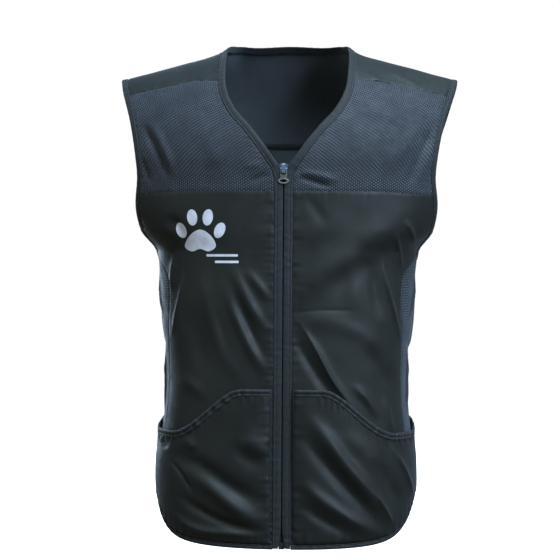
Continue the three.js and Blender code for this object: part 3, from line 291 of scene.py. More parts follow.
def neckline():
    """Free edge of the left half of the neck, from the V over the shoulder to centre back."""
    n = NECK_HALF_WIDTH
    top = ZIP_TOP_Z
    points = [
        (7 * MM, -FRONT_DEPTH_CHEST, top),
        (n - 49 * MM, -114 * MM, top + 27 * MM),
        (n - 31 * MM, -107 * MM, top + 50 * MM),
        (n - 13 * MM, -95 * MM, top + 70 * MM),
        (n - 1 * MM, -78 * MM, top + 96 * MM),
        (n + 2 * MM, -54 * MM, top + 124 * MM),
        (n, 0, float(shoulder_line(np.array(n)))),
        (n - 8 * MM, 28 * MM, 30 * MM),
        (n - 30 * MM, 47 * MM, 32 * MM),
        (0, 55 * MM, 33 * MM),
        (30 * MM - n, 47 * MM, 32 * MM),
    ]
    line = evenly(through(on_body(points)), 1200)
    half = line[: first_crossing(line[:, 0], 0) + 1]
    half[-1, 0] = 0
    half = on_body(evenly(half, 500))
    half[-1, 0] = 0
    return half


def hem_height(degrees):
    notch = np.exp(-(((degrees - 90) / 26) ** 2))
    return HEM_Z + 8 * MM * np.sin(np.radians(degrees)) ** 2 + 50 * MM * notch


def angle_at(x, z):
    return math.degrees(math.asin((x / float(half_width(np.array(z)))) ** (SECTION_POWER / 2)))


ARM_OUTER = armhole()
ARM_INNER = beside(ARM_OUTER, -ARM_BAND, closed=True)
NECK_HALF = neckline()
NECK_OUTER = np.vstack([NECK_HALF, mirror(NECK_HALF[-2::-1])])
NECK_INNER = beside(NECK_OUTER, -NECK_BAND)
HEM_START = angle_at(FACING_HALF_WIDTH + 0.4 * MM, HEM_Z)
HEM_ANGLES = np.linspace(HEM_START, 180, 700)
HEM_HALF = around_body(HEM_ANGLES, hem_height(HEM_ANGLES))
HEM_OUTER = np.vstack([HEM_HALF, mirror(HEM_HALF[-2::-1])])
HEM_INNER = beside(HEM_OUTER, HEM_BAND)

arm_high = ARM_OUTER[:, 2]
ARM_TOP_SEAM = first_crossing(arm_high, -46 * MM)
ARM_YOKE_SEAM = first_crossing(arm_high, YOKE_SEAM_Z)
ARM_BACK_YOKE = len(ARM_OUTER) - first_crossing(arm_high, BACK_YOKE_SEAM_Z)
below = np.where(arm_high < CHEST_Z, ARM_OUTER[:, 1], -1)
ARM_FRONT_SIDE = first_crossing(below, -20 * MM)
ARM_BACK_SIDE = 2 * first_crossing(below, 0) - ARM_FRONT_SIDE
NECK_SEAM = first_crossing(NECK_HALF[:, 2], -25 * MM)
HEM_FRONT_SIDE = int(np.argmax(HEM_ANGLES > SIDE_SEAM_HEM_DEG))
HEM_BACK_SIDE = int(np.argmax(HEM_ANGLES > 180 - SIDE_SEAM_HEM_DEG))

FACING_TOP = ZIP_TOP_Z - 6 * MM
FACING_FLARE = 14 * MM
FACING_TOP_WIDENING = 3.3 * MM
PANEL_GAP = 0.3 * MM


def facing_outer_x(z):
    t = np.clip((z - (FACING_TOP - FACING_FLARE)) / FACING_FLARE, 0, 1)
    return FACING_HALF_WIDTH + FACING_TOP_WIDENING * t * t


def panel_edge(z):
    return on_front(facing_outer_x(z) + PANEL_GAP, z)


def seam_line(start, end, guides=(), count=400):
    return on_body(evenly(through(on_body([start, *guides, end])), count))


def arm_stretch(start, stop):
    return np.take(ARM_INNER, range(start, stop + 1), axis=0, mode="wrap")


def side_guides(sign):
    u, w = UNDERARM_HALF_WIDTH, WAIST_HALF_WIDTH
    return [
        (u - 20 * MM, sign * 60 * MM, UNDERARM_Z - 28 * MM),
        (u - 21 * MM, sign * 64 * MM, UNDERARM_Z - 50 * MM),
        (w - 8.5 * MM, sign * 52.5 * MM, WAIST_Z + 50 * MM),
        (w - 6 * MM, sign * 47.5 * MM, WAIST_Z - 20 * MM),
    ]


FRONT_SIDE_SEAM = seam_line(ARM_INNER[ARM_FRONT_SIDE], HEM_INNER[HEM_FRONT_SIDE], side_guides(-1))
BACK_SIDE_SEAM = seam_line(ARM_INNER[ARM_BACK_SIDE], HEM_INNER[HEM_BACK_SIDE], side_guides(1))
YOKE_SEAM = seam_line(
    panel_edge(YOKE_SEAM_Z),
    ARM_INNER[ARM_YOKE_SEAM],
    [(60 * MM, -116 * MM, YOKE_SEAM_Z), (120 * MM, -104 * MM, YOKE_SEAM_Z)],
)
TOP_SEAM = seam_line(
    NECK_INNER[NECK_SEAM],
    ARM_INNER[ARM_TOP_SEAM],
    [(112 * MM, -58 * MM, -25.5 * MM), (150 * MM, -53 * MM, -32 * MM)],
)
BACK_HALF_SEAM = seam_line(
    ARM_INNER[ARM_BACK_YOKE],
    (0, BACK_DEPTH_CHEST, BACK_YOKE_SEAM_Z),
    [(150 * MM, 90 * MM, BACK_YOKE_SEAM_Z), (75 * MM, 110 * MM, BACK_YOKE_SEAM_Z)],
)
BACK_YOKE_SEAM = np.vstack([BACK_HALF_SEAM, mirror(BACK_HALF_SEAM[-2::-1])])


# ------------------------------------------------------------------ folds in the cloth
# A fold is a line in millimetres on one face of the vest, seen square on, with a height and a
# half width. Front and back lines are (x, z), side lines are (y, z). Crisp folds have a sharp crest.
AXES = {"front": (0, 2), "back": (0, 2), "left": (1, 2), "right": (1, 2)}
SOFT, CRISP = 2.0, 1.15
FRONT_FOLDS = [
    # wearer's right: drags from the armhole, then long soft diagonals down to the zip
    ([(-139, -243), (-142, -268), (-144, -296)], 1.9, 3.0, CRISP),
    ([(-126, -255), (-129, -288), (-138, -328), (-145, -356)], 1.8, 2.6, CRISP),
    ([(-150, -196), (-132, -214), (-120, -236)], -1.6, 7.0, SOFT),
    ([(-104, -262), (-88, -318), (-68, -374), (-48, -412)], 2.1, 9.0, SOFT),
    ([(-78, -270), (-58, -322), (-33, -374), (-12, -408)], 2.4, 7.5, SOFT),
    ([(-68, -250), (-43, -304), (-14, -352)], 2.2, 7.0, SOFT),
    ([(-48, -262), (-14, -306)], 1.5, 6.0, SOFT),
    ([(-92, -292), (-74, -350), (-58, -396)], -1.9, 7.0, SOFT),
    ([(-64, -290), (-40, -342), (-18, -384)], -1.8, 6.0, SOFT),
    ([(-118, -300), (-106, -356), (-92, -410)], -1.2, 12.0, SOFT),
    ([(-140, -398), (-112, -412), (-92, -430)], 1.0, 8.0, SOFT),
    # wearer's left: drags from the armhole, a pressed crease and a long crisp diagonal
    ([(149, -200), (157, -216), (165, -232)], 1.8, 3.4, CRISP),
    ([(137, -214), (142, -240), (147, -268)], 2.0, 2.8, CRISP),
    ([(120, -240), (127, -282), (138, -323), (148, -358)], 2.3, 3.2, CRISP),
    ([(108, -250), (114, -292), (122, -330)], -1.7, 7.0, SOFT),
    ([(84, -236), (90, -330)], 0.8, 10.0, SOFT),
    ([(-12, -300), (40, -274), (90, -240), (138, -210), (176, -184)], 2.6, 20.0, SOFT),
    ([(40, -296), (92, -264), (130, -240)], -1.5, 14.0, SOFT),
    ([(4, -226), (44, -216), (90, -192)], 1.0, 16.0, SOFT),
    ([(24, -168), (56, -214)], -0.7, 7.0, SOFT),
    ([(4, -319), (50, -315), (104, -316)], -0.4, 2.2, CRISP),
    ([(2, -334), (46, -328), (92, -340)], 0.9, 12.0, SOFT),
    ([(14, -320), (38, -358), (61, -401), (81, -429), (100, -452)], 3.0, 3.8, CRISP),
    ([(12, -338), (32, -378), (56, -414), (72, -436)], -2.0, 6.5, SOFT),
    ([(84, -404), (106, -428), (119, -454)], 1.9, 5.0, SOFT),
    ([(124, -416), (130, -444), (138, -476)], 1.2, 4.4, SOFT),
    ([(100, -356), (122, -392), (140, -420)], -1.3, 9.0, SOFT),
    ([(60, -330), (96, -344), (132, -372)], 0.9, 10.0, SOFT),
]
YOKE_FOLDS = [
    ([(-186, -74), (-164, -113), (-142, -160)], -2.6, 4.5, SOFT),
    ([(-176, -70), (-152, -112), (-132, -158)], 1.6, 5.0, SOFT),
    ([(-190, -112), (-176, -140), (-166, -164)], -1.8, 3.5, SOFT),
    ([(-118, -60), (-90, -112), (-66, -156)], 0.9, 12.0, SOFT),
    ([(190, -72), (170, -121), (150, -168)], -2.2, 6.0, SOFT),
    ([(178, -60), (150, -110), (128, -150)], 1.3, 8.0, SOFT),
    ([(14, -150), (38, -157), (66, -168)], -1.9, 3.6, SOFT),
    ([(14, -143), (44, -149), (74, -158)], 1.2, 4.0, SOFT),
    ([(-15, -146), (-46, -158)], -1.1, 4.0, SOFT),
    ([(-24, -134), (-52, -140)], 0.9, 4.5, SOFT),
    ([(96, -56), (122, -72), (168, -84)], 0.9, 8.0, SOFT),
]
CAPE_FOLDS = [
    ([(98, -12), (120, -28), (150, -40)], 1.1, 4.0, SOFT),
    ([(124, -6), (150, -22), (176, -34)], 1.0, 4.0, SOFT),
    ([(-96, -10), (-112, -30)], 0.8, 5.0, SOFT),
]
POCKET_FOLDS = [
    # wearer's right
    ([(-150, -494), (-107, -508), (-66, -533), (-31, -550), (-8, -564)], -3.4, 11.1, SOFT),
    ([(-128, -500), (-107, -513), (-76, -541), (-41, -570), (-8, -584)], 3.6, 10.4, SOFT),
    ([(-140, -502), (-122, -522), (-106, -548)], -1.7, 2.2, CRISP),
    ([(-132, -540), (-118, -553), (-76, -576), (-41, -585), (-12, -588)], -2.5, 5.9, SOFT),
    ([(-140, -556), (-128, -578), (-100, -590), (-66, -592), (-14, -594)], 1.9, 5.2, SOFT),
    ([(-52, -470), (-32, -482), (-12, -492)], 1.8, 11.7, SOFT),
    ([(-66, -476), (-40, -498), (-14, -508)], -1.6, 10.4, SOFT),
    ([(-152, -480), (-142, -494)], -1.5, 4.4, SOFT),
    ([(-118, -474), (-104, -492)], 1.1, 5.9, SOFT),
    # wearer's left
    ([(20, -430), (52, -470), (76, -505), (101, -536), (128, -573), (142, -590)], 3.8, 8.5, SOFT),
    ([(15, -514), (39, -540), (71, -565), (113, -591), (130, -600)], 2.9, 7.8, SOFT),
    ([(17, -456), (52, -503), (88, -545), (124, -586)], -3.0, 8.5, SOFT),
    ([(104, -530), (122, -560), (139, -588)], 2.0, 2.8, CRISP),
    ([(126, -478), (143, -509), (158, -545), (163, -560)], 2.4, 3.0, CRISP),
    ([(110, -494), (128, -530), (146, -566)], -1.8, 8.5, SOFT),
    ([(16, -548), (52, -574), (92, -596)], -1.9, 7.2, SOFT),
    ([(70, -462), (96, -486), (118, -520)], 1.2, 10.4, SOFT),
]
BACK_FOLDS = [
    ([(-150, -236), (-112, -262), (-70, -300)], 2.0, 7.0, SOFT),
    ([(150, -236), (116, -268), (78, -312)], 2.0, 7.0, SOFT),
    ([(-140, -300), (-90, -340), (-30, -362)], 1.7, 8.0, SOFT),
    ([(144, -306), (92, -344), (36, -372)], 1.7, 8.0, SOFT),
    ([(-120, -352), (-60, -384), (20, -392)], -2.0, 9.0, SOFT),
    ([(130, -366), (70, -396), (-10, -412)], 1.8, 8.0, SOFT),
    ([(-146, -404), (-80, -420), (-6, -432)], 1.7, 7.0, SOFT),
    ([(0, -130), (4, -220), (-2, -300)], -1.3, 14.0, SOFT),
    ([(-60, -470), (-72, -540), (-64, -596)], 1.8, 12.0, SOFT),
    ([(48, -460), (60, -530), (70, -594)], 1.8, 12.0, SOFT),
    ([(-6, -480), (-4, -600)], -1.4, 12.0, SOFT),
    ([(-166, -190), (-120, -170), (-70, -160)], -1.4, 9.0, SOFT),
    ([(166, -190), (120, -168), (74, -156)], -1.4, 9.0, SOFT),
]
SIDE_FOLDS = [
    ([(-14, -262), (-24, -300), (-40, -334)], 1.6, 4.0, SOFT),
    ([(12, -262), (4, -330), (10, -392)], 1.5, 6.0, SOFT),
    ([(-36, -360), (-22, -392), (-30, -456)], 1.9, 3.6, SOFT),
    ([(34, -300), (20, -360), (30, -430)], -1.4, 7.0, SOFT),
    ([(-30, -388), (10, -400), (42, -396)], 1.2, 5.0, SOFT),
    ([(-44, -352), (0, -366), (40, -352)], -1.1, 6.0, SOFT),
]


def fold_relief(folds, face, p):
    """How far folds lift each point, in metres. Folds taper off towards their ends."""
    a, b = AXES[face]
    q = np.stack([p[..., a], p[..., b]], axis=-1)
    lift = np.zeros(p.shape[:-1])
    for line, height, half, crest in folds:
        line = evenly(through(np.array(line) * MM, steps=8), 20)
        half = half * MM
        low = line.min(axis=0) - 4 * half
        high = line.max(axis=0) + 4 * half
        near = np.all((q > low) & (q < high), axis=-1)
        if not near.any():
            continue
        points = q[near][:, None]
        start, step = line[:-1], np.diff(line, axis=0)
        along = np.clip(((points - start) * step).sum(-1) / (step**2).sum(-1), 0, 1)
        away = np.linalg.norm(points - start - along[..., None] * step, axis=-1)
        k = away.argmin(axis=1)
        rows = np.arange(len(k))
        run = (k + along[rows, k]) / len(step)
        taper = smooth(run / 0.4) * smooth((1 - run) / 0.4)
        lift[near] += height * MM * taper * np.exp(-((away[rows, k] / half) ** crest))
    return lift


def clear_of_seams(runs, reach, loose=()):
    """One inside the panel and zero at its seams, so that neighbours meet."""
    share = 1.0
    for edge, away in runs.items():
        if edge not in loose:
            share = share * smooth(away / reach)
    return share


def ripples(p, size, seed, count=9):
    """Gentle unevenness about one unit high, with features about size metres across."""
    dice = np.random.default_rng(seed)
    total = np.zeros(p.shape[:-1])
    for _ in range(count):
        way = unit(dice.normal(size=p.shape[-1]))
        pitch = size * dice.uniform(0.7, 1.6)
        total += np.sin((p * way).sum(-1) * 2 * math.pi / pitch + dice.uniform(0, 2 * math.pi))
    return total / math.sqrt(count)


def puckers(along, away, pitch, reach, seed):
    """Small gathers square to a seam, which die away from it."""
    wave = ripples(along[..., None], pitch, seed, 6)
    return wave * np.exp(-((away / reach) ** 1.3))


# ------------------------------------------------------------------ meshes
def grid_faces(rows, columns, close=False):
    j, i = np.meshgrid(np.arange(rows - 1), np.arange(columns if close else columns - 1), indexing="ij")
    right = (i + 1) % columns
    low, high = j * columns, (j + 1) * columns
    return np.stack([low + i, low + right, high + right, high + i], -1).reshape(-1, 4)


def new_object(name, vertices, faces, materials, uv=None, slots=None, sharp=50):
    """Object from arrays of points and faces; uv has one pair for each point."""
    faces = np.asarray(faces)
    sides = faces.shape[1]
    mesh = bpy.data.meshes.new(name)
    mesh.vertices.add(len(vertices))
    mesh.vertices.foreach_set("co", np.asarray(vertices, np.float32).ravel())
    mesh.loops.add(faces.size)
    mesh.loops.foreach_set("vertex_index", faces.astype(np.int32).ravel())
    mesh.polygons.add(len(faces))
    mesh.polygons.foreach_set("loop_start", np.arange(0, faces.size, sides, dtype=np.int32))
    mesh.polygons.foreach_set("use_smooth", np.ones(len(faces), bool))
    if slots is not None:
        mesh.polygons.foreach_set("material_index", np.asarray(slots, np.int32))
    if uv is not None:
        layer = mesh.uv_layers.new(name="Weave")
        layer.data.foreach_set("uv", np.asarray(uv[faces.ravel()], np.float32).ravel())
    mesh.update(calc_edges=True)
    mesh.validate()
    mesh.set_sharp_from_angle(angle=math.radians(sharp))
    for material in materials:
        mesh.materials.append(material)
    piece = bpy.data.objects.new(name, mesh)
    bpy.context.scene.collection.objects.link(piece)
    return piece


def inward(face, vertices, normals):
    """True if a face is wound against the normal at its first corner."""
    a, b, c = (vertices[k] for k in face[:3])
    return np.dot(np.cross(b - a, c - b), normals[face[0]]) < 0


def rings_about(path, first, second, radius, sides=6):
    """Circles about the points of a path, each in the plane of two directions."""
    angle = (np.arange(sides) * 2 * math.pi / sides)[None, :, None]
    return path[:, None] + radius * (np.cos(angle) * first[:, None] + np.sin(angle) * second[:, None])


def tube(name, vertices, rows, columns, material, uv=None, sharp=80):
    """Solid of rings of points, closed at both ends."""
    faces = grid_faces(rows, columns, close=True)
    piece = new_object(name, vertices, faces, [material], uv, sharp=sharp)
    cap_ends(piece, rows, columns)
    return piece


def coons(bottom, top, left, right):
    """Grid between four edges: left and right run upwards with the rows."""
    u = np.linspace(0, 1, len(bottom))[None, :, None]
    v = np.linspace(0, 1, len(left))[:, None, None]
    ruled = left[:, None] * (1 - u) + right[:, None] * u + bottom[None] * (1 - v) + top[None] * v
    low = bottom[0] * (1 - u) + bottom[-1] * u
    high = top[0] * (1 - u) + top[-1] * u
    return ruled - (low * (1 - v) + high * v)


def edge_runs(grid):
    """Distance along the cloth from each grid point to its left, right, bottom and top edges."""
    across = np.linalg.norm(np.diff(grid, axis=1), axis=-1)
    up = np.linalg.norm(np.diff(grid, axis=0), axis=-1)
    left = np.hstack([np.zeros((len(grid), 1)), np.cumsum(across, axis=1)])
    bottom = np.vstack([np.zeros((1, grid.shape[1])), np.cumsum(up, axis=0)])
    return {"left": left, "right": left[:, -1:] - left, "bottom": bottom, "top": bottom[-1:] - bottom}


def sewn(grid, runs, cloth, loose=(), seed=1):
    """Relief of a panel by its seams: it dips into each seam, with small gathers along it."""
    relief = np.zeros(grid.shape[:2])
    for edge, away in runs.items():
        if edge in loose:
            continue
        relief -= cloth.seam_dip * np.exp(-((away / (1.6 * MM)) ** 2))
        along = runs["bottom"] if edge in ("left", "right") else runs["left"]
        relief += cloth.pucker * puckers(along, away, 11 * MM, 9 * MM, seed + len(edge))
    return relief


# Reach of the painted light near a panel's edges, by which the mesh paints its eyelets paler.
EDGE_LIGHT_REACH = 22 * MM


def cloth_sheet(name, grid, relief, cloth, materials, right=False):
    """Closed sheet of cloth on a grid, with its outside and inside faces."""
    grid = handed(grid, right)
    normal = outward(grid)
    rows, columns = grid.shape[:2]
    outer = grid + normal * (relief + cloth.thickness / 2)[..., None]
    inner = grid + normal * (relief - cloth.thickness / 2)[..., None]
    vertices = np.vstack([outer.reshape(-1, 3), inner.reshape(-1, 3)])
    count = rows * columns
    outside = grid_faces(rows, columns)
    inside = outside[:, ::-1] + count
    loop = np.concatenate(
        [
            np.arange(columns),
            np.arange(1, rows) * columns + columns - 1,
            (rows - 1) * columns + np.arange(columns - 2, -1, -1),
            np.arange(rows - 2, 0, -1) * columns,
        ]
    )
    after = np.roll(loop, -1)
    rim = np.stack([after, loop, loop + count, after + count], -1)
    faces = np.vstack([outside, inside, rim])
    if inward(outside[len(outside) // 2], vertices, normal.reshape(-1, 3)):
        faces = faces[:, ::-1]
    runs = edge_runs(grid)
    u = runs["left"] - runs["left"][rows // 2, columns // 2]
    v = runs["bottom"] - runs["bottom"][rows // 2, columns // 2]
    pairs = np.stack([u.ravel(), v.ravel()], -1)
    slots = np.concatenate([np.zeros(len(outside)), np.ones(len(inside)), np.zeros(len(rim))])
    piece = new_object(name, vertices, faces, materials, np.vstack([pairs, pairs]), slots)
    # Painted light: a share that is one at the panel's left, right and bottom edges and fades inward. The
    # mesh paints its eyelets paler by it.
    away = np.minimum(np.minimum(runs["left"], runs["right"]), runs["bottom"]).ravel()
    edge_brightening = np.exp(-((away / EDGE_LIGHT_REACH) ** 2))
    edge_light_layer = piece.data.attributes.new("EdgeLight", "FLOAT", "POINT")
    edge_light_layer.data.foreach_set("value", np.tile(edge_brightening, 2).astype(np.float32))
    spans = np.ptp(u, axis=1).max(), np.ptp(v, axis=0).max()
    ab = np.diff(grid, axis=1)[:-1]
    ac = np.diff(grid, axis=0)[:, :-1]
    area = float(np.linalg.norm(np.cross(ab, ac), axis=-1).sum())
    return piece, spans, min(area, spans[0] * spans[1])


def rows_for(edges, cell):
    return int(max(lengths(edge)[-1] for edge in edges) / cell) + 2


def even_grid(bottom, top, left, right, cell):
    """Grid of cloth on the body between four edges, with cells about one size."""
    columns, rows = rows_for((bottom, top), cell), rows_for((left, right), cell)
    across = [evenly(edge, columns) for edge in (bottom, top)]
    return on_body(coons(*across, *(evenly(edge, rows) for edge in (left, right))))


def band(name, outer, inner, section, material, closed=False, lift=0.0, wobble=0.1 * MM, seed=5):
    """Folded tape along an edge. section is a closed outline of (share across, height) pairs."""
    across = np.array([s for s, _ in section])[None, :, None]
    height = np.array([h for _, h in section])[None, :] * MM
    base = outer[:, None] * (1 - across) + inner[:, None] * across
    normal = outward(base)
    along = lengths(outer)
    uneven = wobble * ripples(along[:, None], 9 * MM, seed)
    raise_by = np.broadcast_to(np.asarray(lift, float), len(outer))[:, None] + height
    raise_by = raise_by + uneven[:, None] * np.sign(height)
    vertices = (base + normal * raise_by[..., None]).reshape(-1, 3)
    rows, columns = len(outer), len(section)
    faces = grid_faces(rows, columns, close=True)
    crest = faces[(rows // 2) * columns + int(np.argmax(height[0]))]
    if closed:
        faces = np.vstack([faces, closing_faces(rows, columns)])
    if inward(crest, vertices, normal.reshape(-1, 3)):
        faces = faces[:, ::-1]
    ring = np.linalg.norm(np.diff(vertices.reshape(rows, columns, 3)[rows // 2], axis=0), axis=1)
    v = np.concatenate([[0], np.cumsum(ring)])
    pairs = np.stack(np.broadcast_arrays(along[:, None], v[None]), -1).reshape(-1, 2)
    piece = new_object(name, vertices, faces, [material], pairs, sharp=70)
    if not closed:
        cap_ends(piece, rows, columns)
    return piece


def closing_faces(rows, columns):
    i = np.arange(columns)
    right = (i + 1) % columns
    last = (rows - 1) * columns
    return np.stack([last + i, last + right, right, i], -1)


def cap_ends(piece, rows, columns):
    """Closes the two ends of an open band."""
    mesh = bmesh.new()
    mesh.from_mesh(piece.data)
    mesh.verts.ensure_lookup_table()
    mesh.faces.new([mesh.verts[k] for k in range(columns)])
    mesh.faces.new([mesh.verts[(rows - 1) * columns + k] for k in reversed(range(columns))])
    bmesh.ops.recalc_face_normals(mesh, faces=mesh.faces)
    mesh.to_mesh(piece.data)
    mesh.free()


# Shape of one stitch: share along it, height and girth in thread radii.
STITCH = [(-0.5, -1.0, 0.35), (-0.42, 0.1, 0.9), (-0.2, 0.75, 1.0)]
STITCH += [(0.2, 0.75, 1.0), (0.42, 0.1, 0.9), (0.5, -1.0, 0.35)]
STITCH_SINK = 0.1 * MM


def stitches(name, line, normal, sewing, material):
    """Row of stitches on a line: each is a short rounded thread that dives into the cloth."""
    run = lengths(line)
    pitch = sewing.stitch_length + sewing.stitch_gap
    count = max(int(run[-1] / pitch), 1)
    starts = (np.arange(count) + 0.5) * run[-1] / count
    radius = sewing.thread / 2
    reach = 0.3 * MM
    rings = []
    for share, rise, girth in STITCH:
        at = np.clip(starts + share * sewing.stitch_length, 0, run[-1])
        up = unit(at_runs(normal, run, at))
        ahead = at_runs(line, run, np.minimum(at + reach, run[-1]))
        behind = at_runs(line, run, np.maximum(at - reach, 0))
        aside = unit(np.cross(up, unit(ahead - behind)))
        middle = at_runs(line, run, at) + up * (rise * radius - STITCH_SINK)
        rings.append(rings_about(middle, aside, up, radius * girth))
    vertices = np.stack(rings, axis=1).reshape(-1, 3)
    one = grid_faces(len(STITCH), 6, close=True)
    faces = (one[None] + (np.arange(count) * len(STITCH) * 6)[:, None, None]).reshape(-1, 4)
    return new_object(name, vertices, faces[:, ::-1], [material], sharp=80)


# ------------------------------------------------------------------ finishes
class Finish:
    """A material under construction: adds nodes and joins them up."""

    def __init__(self, name):
        self.material = bpy.data.materials.new(name)
        self.material.use_nodes = True
        self.tree = self.material.node_tree
        self.surface = self.tree.nodes["Principled BSDF"]

    def node(self, kind, *sources, **settings):
        made = self.tree.nodes.new("ShaderNode" + kind)
        for key, value in settings.items():
            setattr(made, key, value)
        for k, source in enumerate(sources):
            self.feed(made.inputs[k], source)
        return made

    def feed(self, socket, source):
        if source is None:
            return
        if isinstance(source, bpy.types.Node):
            source = source.outputs[0]
        if isinstance(source, bpy.types.NodeSocket):
            self.tree.links.new(source, socket)
        else:
            socket.default_value = source

    def math(self, operation, *sources):
        return self.node("Math", *sources, operation=operation)

    def vector(self, operation, *sources):
        return self.node("VectorMath", *sources, operation=operation)

    def weave_place(self):
        return self.node("UVMap", uv_map="Weave")

    def place(self):
        return self.node("TexCoord").outputs["Object"]

    def noise(self, size, detail=3.0, roughness=0.55, where=None):
        made = self.node("TexNoise")
        self.feed(made.inputs["Vector"], where or self.place())
        made.inputs["Scale"].default_value = 1 / size
        made.inputs["Detail"].default_value = detail
        made.inputs["Roughness"].default_value = roughness
        return made.outputs["Fac"]

    def spread(self, value, low, high, start=0.3, stop=0.7):
        """The value's usual range, mapped smoothly to low and high."""
        made = self.node("MapRange", value, start, stop, low, high, interpolation_type="SMOOTHSTEP")
        return made.outputs[0]

    def blend(self, share, first, second):
        made = self.node("Mix", data_type="RGBA")
        self.feed(made.inputs[0], share)
        self.feed(made.inputs[6], first)
        self.feed(made.inputs[7], second)
        return made.outputs[2]

    def shade(self, share, color, dark, light):
        """The colour, varied between a darker and a lighter one."""
        return self.blend(share, rgb(color, dark), rgb(color, light))

    def wave(self, value, period):
        return self.math("SINE", self.math("MULTIPLY", value, 2 * math.pi / period))

    def bump(self, height, distance, strength=1.0):
        made = self.node("Bump")
        made.inputs["Strength"].default_value = strength
        made.inputs["Distance"].default_value = distance
        self.feed(made.inputs["Height"], height)
        self.feed(self.surface.inputs["Normal"], made)

    def base(self, color, roughness):
        self.feed(self.surface.inputs["Base Color"], color)
        self.feed(self.surface.inputs["Roughness"], roughness)

    def settings(self, **values):
        for name, value in values.items():
            self.surface.inputs[name.replace("_", " ")].default_value = value


def rgb(color, gain=1.0):
    return (color[0] * gain, color[1] * gain, color[2] * gain, 1.0)


def kept(name, make):
    """A material that several pieces share."""
    found = bpy.data.materials.get(name)
    return found or make(name)


def softshell(name, color, sheen, roughness=0.54):
    """Smooth stretch cloth: a fine twill, faint streaks of wear and a soft sheen."""
    f = Finish(name)
    weave = f.node("SeparateXYZ", f.weave_place())
    u, v = weave.outputs[0], weave.outputs[1]
    diagonal = f.wave(f.math("ADD", u, v), 0.9 * MM)
    rib = f.wave(f.math("SUBTRACT", u, v), 0.55 * MM)
    twill = f.math("MULTIPLY", f.math("ADD", diagonal, rib), 0.5)
    cloudy = f.noise(0.06, 4)
    fine = f.noise(0.0016, 2)
    tone = f.math("ADD", f.spread(cloudy, 0.0, 0.75), f.spread(fine, 0.0, 0.25))
    rough = f.spread(f.noise(0.02, 3), roughness - 0.05, roughness + 0.07)
    f.base(f.shade(tone, color, 0.78, 1.18), rough)
    height = f.math("ADD", f.math("MULTIPLY", twill, 0.5), fine)
    f.bump(height, 0.12 * MM, 0.35)
    f.settings(Sheen_Weight=sheen, Sheen_Roughness=0.45, Specular_IOR_Level=0.38)
    f.settings(Sheen_Tint=(0.68, 0.82, 1.0, 1.0))
    return f.material


def air_mesh(name, color, hole_light, pitch, dot):
    """Perforated mesh: rows of small round eyelets set in a hexagonal lattice. The eyelets hold painted
    light, a pale colour as of a lit surface seen through them. They are brighter near the panel's edges and
    in patches, and the dimmer patches are painted shade.
    """
    f = Finish(name)
    cell = (1.7 * pitch, 1.07 * pitch, 1.0)
    place = f.vector("DIVIDE", f.weave_place(), cell)
    eyelets = []
    middle = (0.5, 0.5, 0.0)
    for offset in ((0.0, 0.0, 0.0), middle):
        local = f.vector("FRACTION", f.vector("ADD", place, offset))
        local = f.vector("MULTIPLY", f.vector("SUBTRACT", local, middle), (cell[0], cell[1], 0.0))
        eyelets.append(f.vector("LENGTH", local).outputs["Value"])
    hole = f.spread(f.math("MINIMUM", *eyelets), 1.0, 0.0, dot * 0.3, dot * 0.62)
    # Painted light and shade: random patches and a brightening near the panel's edges decide how pale each
    # eyelet is painted.
    light_and_shade_patches = f.spread(f.noise(0.035, 3), 0.3, 0.8, 0.38, 0.62)
    edge_light = f.math("MULTIPLY", f.node("Attribute", attribute_name="EdgeLight").outputs["Fac"], 0.9)
    light_and_shade_patches = f.math("ADD", light_and_shade_patches, f.math("MULTIPLY", edge_light, f.spread(f.noise(0.05, 2), 0.3, 1.0)))
    ground = f.shade(f.spread(f.noise(0.012, 3), 0.0, 1.0), color, 0.82, 1.2)
    face = f.blend(f.math("MULTIPLY", hole, light_and_shade_patches), ground, rgb(hole_light))
    f.base(face, f.spread(f.noise(0.01), 0.58, 0.72))
    thread = f.math("MULTIPLY", f.noise(0.0011, 2), 0.25)
    f.bump(f.math("SUBTRACT", thread, hole), 0.35 * MM, 0.7)
    f.settings(Sheen_Weight=0.2, Sheen_Roughness=0.5, Specular_IOR_Level=0.3)
    f.settings(Sheen_Tint=(0.7, 0.82, 1.0, 1.0))
    return f.material


def ribbed_tape(name, color, period, roughness=0.6):
    """Knitted edging: fine ribs across the tape and a slight fuzz."""
    f = Finish(name)
    weave = f.node("SeparateXYZ", f.weave_place())
    rib = f.wave(weave.outputs[0], period)
    course = f.wave(weave.outputs[1], period * 0.8)
    fuzz = f.noise(0.0013, 3)
    tone = f.math("ADD", f.math("MULTIPLY", rib, 0.12), f.noise(0.018, 4))
    tone = f.spread(tone, 0.0, 1.0, 0.25, 0.75)
    f.base(f.shade(tone, color, 0.8, 1.2), f.spread(fuzz, roughness - 0.04, roughness + 0.1))
    height = f.math("ADD", f.math("MULTIPLY", rib, 0.5), f.math("MULTIPLY", course, 0.25))
    f.bump(f.math("ADD", height, fuzz), 0.16 * MM, 0.5)
    f.settings(Sheen_Weight=0.16, Sheen_Roughness=0.5, Specular_IOR_Level=0.32)
    f.settings(Sheen_Tint=(0.8, 0.88, 1.0, 1.0))
    return f.material


